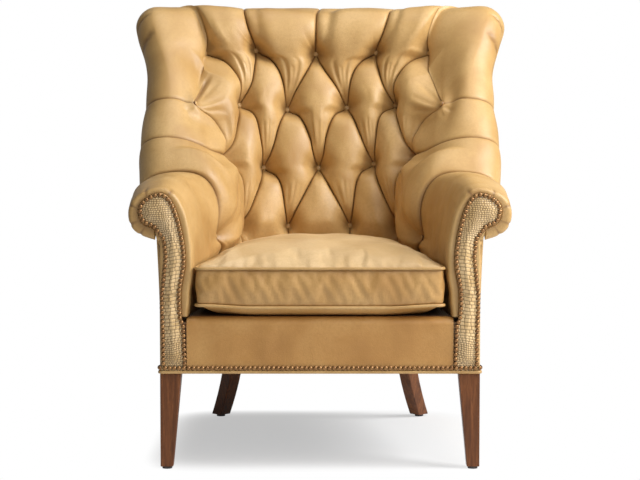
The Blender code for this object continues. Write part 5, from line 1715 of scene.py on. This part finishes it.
def base_plan():
    """Plan of the leather round the foot of the base, from the middle of the front and round to it again."""
    edge = 0.004
    half = [(0, 0), (FRONT_HALF_WIDTH - edge, 0), (FRONT_HALF_WIDTH, edge), (side_line(0.3, 0), 0.3)]
    half = np.concatenate([half, corner_arc(13), [(0, BASE_DEPTH)]])
    other = half[-2:0:-1] * np.array([-1, 1])
    return np.concatenate([half, other, half[:1]])


def plan_normals(plan):
    """Outward directions of a closed plan line that starts and ends at one point."""
    ahead = np.concatenate([plan[1:], plan[1:2]])
    behind = np.concatenate([plan[-2:-1], plan[:-1]])
    run = unit(ahead - behind)
    return np.stack([run[:, 1], -run[:, 0]], -1)


def base_nails():
    plan = spaced(base_plan(), 900)
    outward = plan_normals(plan)
    height = np.full((len(plan), 1), BASE_Z + BASE_NAIL_RISE)
    path = np.concatenate([plan, height], axis=1)
    outward = np.concatenate([outward, np.zeros((len(plan), 1))], axis=1)
    heads = nail_heads(path, outward, 31)[:-1]
    strip = "base_nail_strip"
    heads_piece("base_nails", heads, BRONZE, [strip], NAIL_PROFILE, NAIL_SEGMENTS)


for word, side in SIDES:
    arm_nails(word, side)
base_nails()


def base_lip():
    """Folded edge of the leather under the lowest nails, all round the base."""
    plan = spaced(base_plan(), 500)[:-1]
    outward = plan_normals(np.concatenate([plan, plan[:1]]))[:-1]
    rings = []
    for place, out in zip(plan, outward):
        for proud, rise in LIP_SECTION:
            x, depth = place + out * proud
            rings.append((x, depth, BASE_Z + rise))
    faces = ring_faces(len(plan), len(LIP_SECTION), True)
    add_piece("base_lip", rings, faces, WELT_LEATHER, "chair")


base_lip()


# Front border under the cushion
def front_border():
    """Leather over the front rail, as sections from one arm front to the other."""
    half = PANEL_FOOT_INNER - SEAM
    top = DECK_TOP - GAP
    across = np.linspace(-half, half, 161)
    rings = []
    for x in across:
        dip = 0.002 * smooth((abs(x) - 0.280) / 0.015)
        crown = top - dip
        section = [(0.0015, BASE_Z)]
        for height in np.linspace(BASE_Z + 0.004, crown - BORDER_ROUND, 14):
            section.append((0.0004, height))
        for angle in np.radians(np.linspace(10, 90, 9)):
            height = crown - BORDER_ROUND + BORDER_ROUND * math.sin(angle)
            section.append((BORDER_ROUND * (1 - math.cos(angle)), height))
        section.append((FRONT_COVER + BORDER_LAP, crown))
        section.append((FRONT_COVER + BORDER_LAP, RAIL_TOP + GAP))
        section.append((FRONT_COVER, RAIL_TOP + GAP))
        section.append((FRONT_COVER, BASE_Z))
        rings.append([(x, depth, z) for depth, z in section])
    rings = np.array(rings)
    slack = SHEET_SLACK * ripple(rings * np.array([1, 1, 0.35]), 0.10, 17)
    skin = slice(2, 24)
    rings[:, skin, 1] += np.abs(slack[:, skin]) * smooth((rings[:, skin, 2] - BASE_Z - 0.02) / 0.03)
    size = rings.shape[1]
    faces = ring_faces(len(rings), size, False)
    faces.append(list(range(size))[::-1])
    faces.append([(len(rings) - 1) * size + k for k in range(size)])
    points = rings.reshape(-1, 3)
    name = "front_border"
    # The border takes the darker copy of the leather, as painted shade
    piece = add_piece(name + "_leather", points, faces, SHADED_BORDER_LEATHER, "chair", [name])
    sharpen_by_angle(piece, 50)


front_border()


# Outside panels: from the base up to where the rolls are tucked in
def past_tuck(before, edge):
    """The tucked edge of a roll's leather, moved on round the roll by the panel's gap."""
    return edge + unit(edge - before) * TUCK_GAP


def tuck_side():
    """Top edge of the side panel, from the arm's front up to the ear."""
    points = []
    for share in np.linspace(1, 0.0012, 25):
        before, edge = arm_line(share, np.array([TUCK_COLUMN - 0.1, TUCK_COLUMN]), True, spline)[0]
        points.append(past_tuck(before, edge))
    rows = np.concatenate([np.linspace(LAST_ROW - 0.1, 1, 36), np.linspace(0.9, EAR_SEAM_ROW, 16)])
    outer = np.full(len(rows), float(TUCK_COLUMN))
    points += list(past_tuck(leather_base(outer - 0.1, rows), leather_base(outer, rows)))
    return np.array(points)


def tuck_back():
    """Top edge of the back panel, from the left ear to the right."""
    rows = np.linspace(EAR_SEAM_ROW - 0.02, -1.6, 10)
    outer = np.full(len(rows), float(TUCK_COLUMN))
    ear = past_tuck(leather_base(outer - 0.1, rows), leather_base(outer, rows))
    columns = np.linspace(-7.8, 7.8, 105)
    tuck = np.full(len(columns), float(TUCK_ROW))
    middle = past_tuck(leather_base(columns, tuck + 0.1), leather_base(columns, tuck))
    return np.concatenate([mirrored(ear, -1), middle, ear[::-1]])


def plan_path(points, shares):
    """Points at shares of the length of a plan line."""
    length = travelled(points)
    return np.stack([np.interp(shares * length[-1], length, points[:, k]) for k in (0, 1)], -1)


def panel_grid(foot, top):
    """Outer face of an outside panel: upright along the rail, then bending out to the tuck."""
    rows = []
    for height in np.linspace(BASE_Z, RAIL_TOP - 0.02, 6):
        rows.append(np.concatenate([foot, np.full((len(foot), 1), height)], axis=1))
    bend = rows[-1]
    pull = bend.copy()
    pull[:, 2] += (top[:, 2] - bend[:, 2]) * 0.4
    for share in np.linspace(0, 1, 29)[1:]:
        rows.append((1 - share) ** 2 * bend + 2 * share * (1 - share) * pull + share**2 * top)
    return np.stack(rows, axis=1)


def outside_piece(node, face, inward):
    """An outside panel's leather: a sheet with its edges turned in."""
    count, depth = face.shape[:2]
    along = np.gradient(face, axis=0)
    across = np.gradient(face, axis=1)
    normal = unit(np.cross(along, across))
    normal *= np.sign((normal[count // 2, 0] * inward).sum())
    edge = np.minimum.outer(np.minimum(np.arange(count), np.arange(count)[::-1]), np.full(depth, 99))
    edge = np.minimum(edge, np.minimum(np.arange(depth), np.arange(depth)[::-1])[None, :])
    slack = SHEET_SLACK * np.abs(ripple(face, 0.22, 23)) * smooth(edge / 6)
    outer = face + normal * (SEAM + slack)[..., None]
    inner = outer + unit(normal.mean(axis=(0, 1))) * SHEET_THICKNESS
    quads, border = sheet_faces(count, depth)
    faces = quads.tolist() + (quads[:, ::-1] + count * depth).tolist()
    for k in range(len(border)):
        a = border[k]
        b = border[(k + 1) % len(border)]
        faces.append([b, a, a + count * depth, b + count * depth])
    points = np.concatenate([outer.reshape(-1, 3), inner.reshape(-1, 3)])
    piece = add_piece(node + "_leather", points, faces, LEATHER, "chair", [node])
    sharpen_by_angle(piece, 60)


def outside_panels():
    arc = corner_arc(9)
    arm_depth = FRONT_COVER + GAP
    side_points = np.concatenate([[(side_line(arm_depth, 0), arm_depth)], arc[:5]])
    top = tuck_side()
    travel = (top[:, 1] - top[0, 1]) / (top[-1, 1] - top[0, 1])
    travel = np.maximum.accumulate(np.clip(travel, 0, 1))
    travel = blend(travel, np.linspace(0, 1, len(top)), 0.15)
    foot = plan_path(side_points, travel * 0.9985)
    top[0, 1] = foot[0, 1]
    side_face = panel_grid(foot, top)
    for word, side in SIDES:
        outside_piece(word + "_outside_panel", mirrored(side_face, side), np.array([-side, 0, 0]))
    top = tuck_back()
    half = np.concatenate([arc[4:], [(0, BASE_DEPTH)]])
    plan = np.concatenate([half * np.array([-1, 1]), half[-2::-1]])
    travel = travelled(top) / travelled(top)[-1]
    foot = plan_path(plan, 0.0015 + 0.997 * travel)
    outside_piece("outside_back_panel", panel_grid(foot, top), FORWARD)


outside_panels()


# Seat cushion
def cushion_outline():
    """Plan of the loose cushion, kept clear of the arms and of the back's lower edge."""
    half = []
    for share in (1.0, 0.92, 0.75, 0.5, 0.25, 0.04):
        face = arm_section(share, True)[0][2]
        reach = ARM_PUFF + CUSHION_CLEARANCE + PLEAT_RISE * 0.5 * (1 - share)
        half.append((face[0] - reach, face[1]))
    for column in (4.5, 4.0, 3.5, 3.0, 2.25, 1.5, 0.75):
        reach = LOW_PUFF + PLEAT_RISE + CUSHION_CLEARANCE * (1 + max(0, column - 3))
        point = field_point(column, LAST_ROW) + field_normal(column, LAST_ROW) * reach
        half.append((point[0], point[1]))
    corner_x = half[0][0]
    front = [(0, CUSHION_FRONT), (corner_x * 0.33, CUSHION_FRONT), (corner_x * 0.66, CUSHION_FRONT)]
    front += [(corner_x - 0.010, CUSHION_FRONT), (corner_x - 0.003, CUSHION_FRONT + 0.002)]
    back_middle = (0, back_depth(LAST_ROW) - LOW_PUFF - PLEAT_RISE - CUSHION_CLEARANCE)
    right = front + [(corner_x, CUSHION_FRONT + 0.009)] + half[1:] + [back_middle]
    left = [(-x, depth) for x, depth in right[-2:0:-1]]
    outline = np.array(right + left)
    fine = spaced(np.concatenate([outline, outline[:1]]), 381)[:-1]
    for _ in range(2):
        fine = 0.5 * fine + 0.25 * (np.roll(fine, 1, axis=0) + np.roll(fine, -1, axis=0))
    return fine


def cushion_piece():
    """The cushion's leather, ring by ring over the bottom, the boxing and the crowned top, and its piping."""
    outline = cushion_outline()
    size = len(outline)
    normal = plan_normals(np.concatenate([outline, outline[:1]]))[:-1]
    middle = np.array([0, (outline[:, 1].max() + outline[:, 1].min()) / 2])
    run = travelled(np.concatenate([outline, outline[:1]]))[:-1]
    along = np.stack([run, np.zeros(size), np.zeros(size)], -1)
    bottom = DECK_TOP + SEAM
    corner = smooth((0.09 - outline[:, 1]) / 0.09) * smooth((np.abs(outline[:, 0]) - 0.15) / 0.11)
    low = DECK_TOP + CUSHION_EDGE_LOW + 0.005 * corner
    high = np.full(size, DECK_TOP + CUSHION_EDGE_HIGH)

    def ring(scale, height, bulge):
        flat = middle + (outline - middle) * scale + normal * np.broadcast_to(bulge, size)[:, None]
        return np.concatenate([flat, np.broadcast_to(height, size)[:, None]], axis=1)

    rings = [ring(0.3, bottom, 0), ring(0.6, bottom, 0), ring(0.8, bottom, 0)]
    held = [True] * 3
    for turn in np.linspace(0.15, 0.95, 8):
        rings.append(ring(0.8 + 0.2 * turn**0.75, blend(bottom, low, turn ** (2.4 - 1.4 * corner)), 0))
        held.append(True)
    # Painted shade, darker next to the seams and piping
    crease_shade = [np.zeros(size)] * len(rings)
    for share in np.linspace(0, 1, 15):
        swell = CUSHION_BELLY * math.sin(math.pi * share) ** 0.7
        slant = along + np.array([0.05 * share, 0.03 * share, 0.05 * share])
        folds = FINE_FOLDS * ripple(slant, 0.035, 41) + BROAD_FOLDS * ripple(slant, 0.09, 42)
        rings.append(ring(1, blend(low, high, share), 0.5 * swell + folds * math.sin(math.pi * share)))
        held.append(share in (0, 1))
        crease_shade.append(np.full(size, SEAM_SHADE * bell(min(share, 1 - share) / 0.04)))
    top_start = len(rings) - 1
    for scale in 1 - np.linspace(0.02, 1, 32)[:-1] ** 1.35:
        rise = CUSHION_CROWN * (1 - scale**3.2) ** 0.75
        rings.append(ring(scale, high + rise, 0))
        pucker = SEAM_PUCKER * ripple(along, 0.03, 43) * bell((1 - scale) / 0.07)
        uneven = TOP_UNEVENNESS * ripple(rings[-1], 0.13, 44) * (1 - scale**6)
        rings[-1][:, 2] += pucker + uneven - TOP_SINK * (1 - scale**6)
        held.append(False)
        crease_shade.append(np.full(size, SEAM_SHADE * bell((1 - scale) / 0.012)))
    points = np.concatenate(rings + [[[middle[0], middle[1], rings[-1][:, 2].mean()]]])
    faces = dome_faces(len(rings), size)
    sewn = np.append(np.repeat(held, size), False)
    cap = np.where(np.arange(len(points)) < top_start * size, BOXING_CAP, TOP_CAP)
    points = settled(points, faces, sewn, CUSHION_SLACK, CUSHION_PRESSURE, cap)
    shade = np.concatenate(crease_shade)
    name = "seat_cushion"
    # The cushion's leather is the darker copy, as painted shade, apart from its top
    cushion = add_piece(name + "_leather", points, faces, SHADED_BOXING_LEATHER, "cushion", [name], shade)
    cushion.data.materials.append(SHEEN_SEAT_LEATHER)
    # The top's faces take the lighter copy: painted sheen
    painted_sheen_faces = np.zeros(len(faces), np.int32)
    painted_sheen_faces[top_start * size : -1] = 1
    cushion.data.polygons.foreach_set("material_index", painted_sheen_faces)
    cushion_welts(outline, normal, low, high)


def cushion_welts(outline, normal, low, high):
    """Piping along the cushion's lower and upper seam, at their heights round its outline."""
    size = len(outline)
    reach = WELT_RADIUS + GAP
    turns = np.radians(np.arange(0, 360, 36))
    out = np.concatenate([normal, np.zeros((size, 1))], axis=1)
    for word, height, sign in (("top", high, 1), ("bottom", low, -1)):
        centre = np.concatenate([outline, height[:, None]], axis=1) + (out * 0.8 + UP * sign * 0.6) * reach
        tube = [centre + WELT_RADIUS * (math.cos(turn) * out + math.sin(turn) * UP) for turn in turns]
        name = "cushion_" + word + "_welt"
        piping = np.stack(tube, axis=1).reshape(-1, 3)
        welt_faces = ring_faces(size, len(turns), True)
        add_piece(name + "_piping", piping, welt_faces, WELT_LEATHER, "cushion", [name])


cushion_piece()


# Finishes of the solids that show or can be seen inside
def finish_nodes():
    finishes = {
        "front_leg": WALNUT,
        "rear_leg": WALNUT,
        "glide": NYLON,
        "spring": STEEL,
        "seat_deck": CANVAS,
        "dust_cover": CAMBRIC,
        "side_rail": BEECH_ALONG,
        "arm_rail": BEECH_ALONG,
        "front_rail": BEECH_ACROSS,
        "back_rail": BEECH_ACROSS,
        "crest_rail": BEECH_ACROSS,
    }
    for name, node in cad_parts.items():
        finish = BEECH_UP
        for word, material in finishes.items():
            if word in name:
                finish = material
        node.data.materials.clear()
        node.data.materials.append(finish)


finish_nodes()


# Floor, light and camera
def white_background(tree, kind):
    """A plain white surface of a kind, and how much a ray sees of it: the camera all, a gloss a part."""
    white = tree.nodes.new(kind)
    white.inputs["Color"].default_value = (1, 1, 1, 1)
    white.inputs["Strength"].default_value = 1.0
    path = tree.nodes.new("ShaderNodeLightPath")
    share = tree.nodes.new("ShaderNodeMath")
    share.operation = "MULTIPLY_ADD"
    tree.links.new(path.outputs["Is Glossy Ray"], share.inputs[0])
    share.inputs[1].default_value = GLOSS_SHARE
    tree.links.new(path.outputs["Is Camera Ray"], share.inputs[2])
    return white, share.outputs["Value"]


def add_floor():
    """White floor that shows the chair's shadow near the legs and plain white further away."""
    bm = bmesh.new()
    bmesh.ops.create_grid(bm, x_segments=1, y_segments=1, size=FLOOR_HALF_SIZE)
    mesh = bpy.data.meshes.new("studio_floor")
    bm.to_mesh(mesh)
    bm.free()
    floor = bpy.data.objects.new("studio_floor", mesh)
    bpy.context.scene.collection.objects.link(floor)
    material, shader = new_material("studio_floor_finish", 0.8)
    shader.inputs["Base Color"].default_value = (0.93, 0.93, 0.93, 1)
    shader.inputs["Specular IOR Level"].default_value = 0.0
    tree = material.node_tree
    white, seen = white_background(tree, "ShaderNodeEmission")
    place = object_place(material, (1 / SHADOW_HALF_WIDTH, 1 / SHADOW_HALF_DEPTH, 1))
    apart = add_node(material, "ShaderNodeSeparateXYZ")
    link(material, place, apart.inputs["Vector"])
    total = add_node(material, "ShaderNodeMath")
    for k, axis in enumerate(("X", "Y")):
        power = add_node(material, "ShaderNodeMath")
        power.operation = "POWER"
        power.inputs[1].default_value = 6
        link(material, apart.outputs[axis], power.inputs[0])
        link(material, power.outputs["Value"], total.inputs[k])
    away = add_node(material, "ShaderNodeMapRange")
    away.interpolation_type = "SMOOTHSTEP"
    away.inputs["From Min"].default_value = 0.2
    away.inputs["From Max"].default_value = 2.2
    away.inputs["To Min"].default_value = 0.5
    link(material, total.outputs["Value"], away.inputs["Value"])
    share = add_node(material, "ShaderNodeMath")
    share.operation = "MULTIPLY"
    link(material, away.outputs["Result"], share.inputs[0])
    link(material, seen, share.inputs[1])
    mix = add_node(material, "ShaderNodeMixShader")
    link(material, share.outputs["Value"], mix.inputs["Fac"])
    link(material, shader.outputs["BSDF"], mix.inputs[1])
    link(material, white.outputs["Emission"], mix.inputs[2])
    link(material, mix.outputs["Shader"], tree.nodes["Material Output"].inputs["Surface"])
    mesh.materials.append(material)


def add_world():
    world = bpy.data.worlds.new("studio")
    bpy.context.scene.world = world
    world.use_nodes = True
    tree = world.node_tree
    soft = tree.nodes["Background"]
    soft.inputs["Color"].default_value = (1.0, 1.0, 1.0, 1)
    soft.inputs["Strength"].default_value = WORLD_STRENGTH
    white, seen = white_background(tree, "ShaderNodeBackground")
    mix = tree.nodes.new("ShaderNodeMixShader")
    tree.links.new(seen, mix.inputs["Fac"])
    tree.links.new(soft.outputs["Background"], mix.inputs[1])
    tree.links.new(white.outputs["Background"], mix.inputs[2])
    tree.links.new(mix.outputs["Shader"], tree.nodes["World Output"].inputs["Surface"])


def add_light(name, place, size, power):
    lamp = bpy.data.lights.new(name, "AREA")
    lamp.shape = "SQUARE"
    lamp.size = size
    lamp.energy = power
    light = bpy.data.objects.new(name, lamp)
    light.location = place
    light.rotation_euler = (Vector(LIGHT_AIM) - Vector(place)).to_track_quat("-Z", "Y").to_euler()
    bpy.context.scene.collection.objects.link(light)


def add_camera():
    camera = bpy.data.cameras.new("camera")
    camera.sensor_width = SENSOR_WIDTH
    camera.lens = FOCAL_PIXELS / IMAGE_WIDTH * camera.sensor_width
    view = bpy.data.objects.new("camera", camera)
    view.location = (0, DEPTH_TO_Y - CAMERA_DISTANCE, CAMERA_HEIGHT)
    pitch = math.atan((IMAGE_HEIGHT / 2 - HORIZON_PIXEL) / FOCAL_PIXELS)
    view.rotation_euler = (math.pi / 2 - pitch, 0, 0)
    bpy.context.scene.collection.objects.link(view)
    bpy.context.scene.camera = view


add_floor()
add_world()
for light in LIGHTS:
    add_light(*light)
add_camera()
bpy.context.scene.view_settings.view_transform = "Standard"
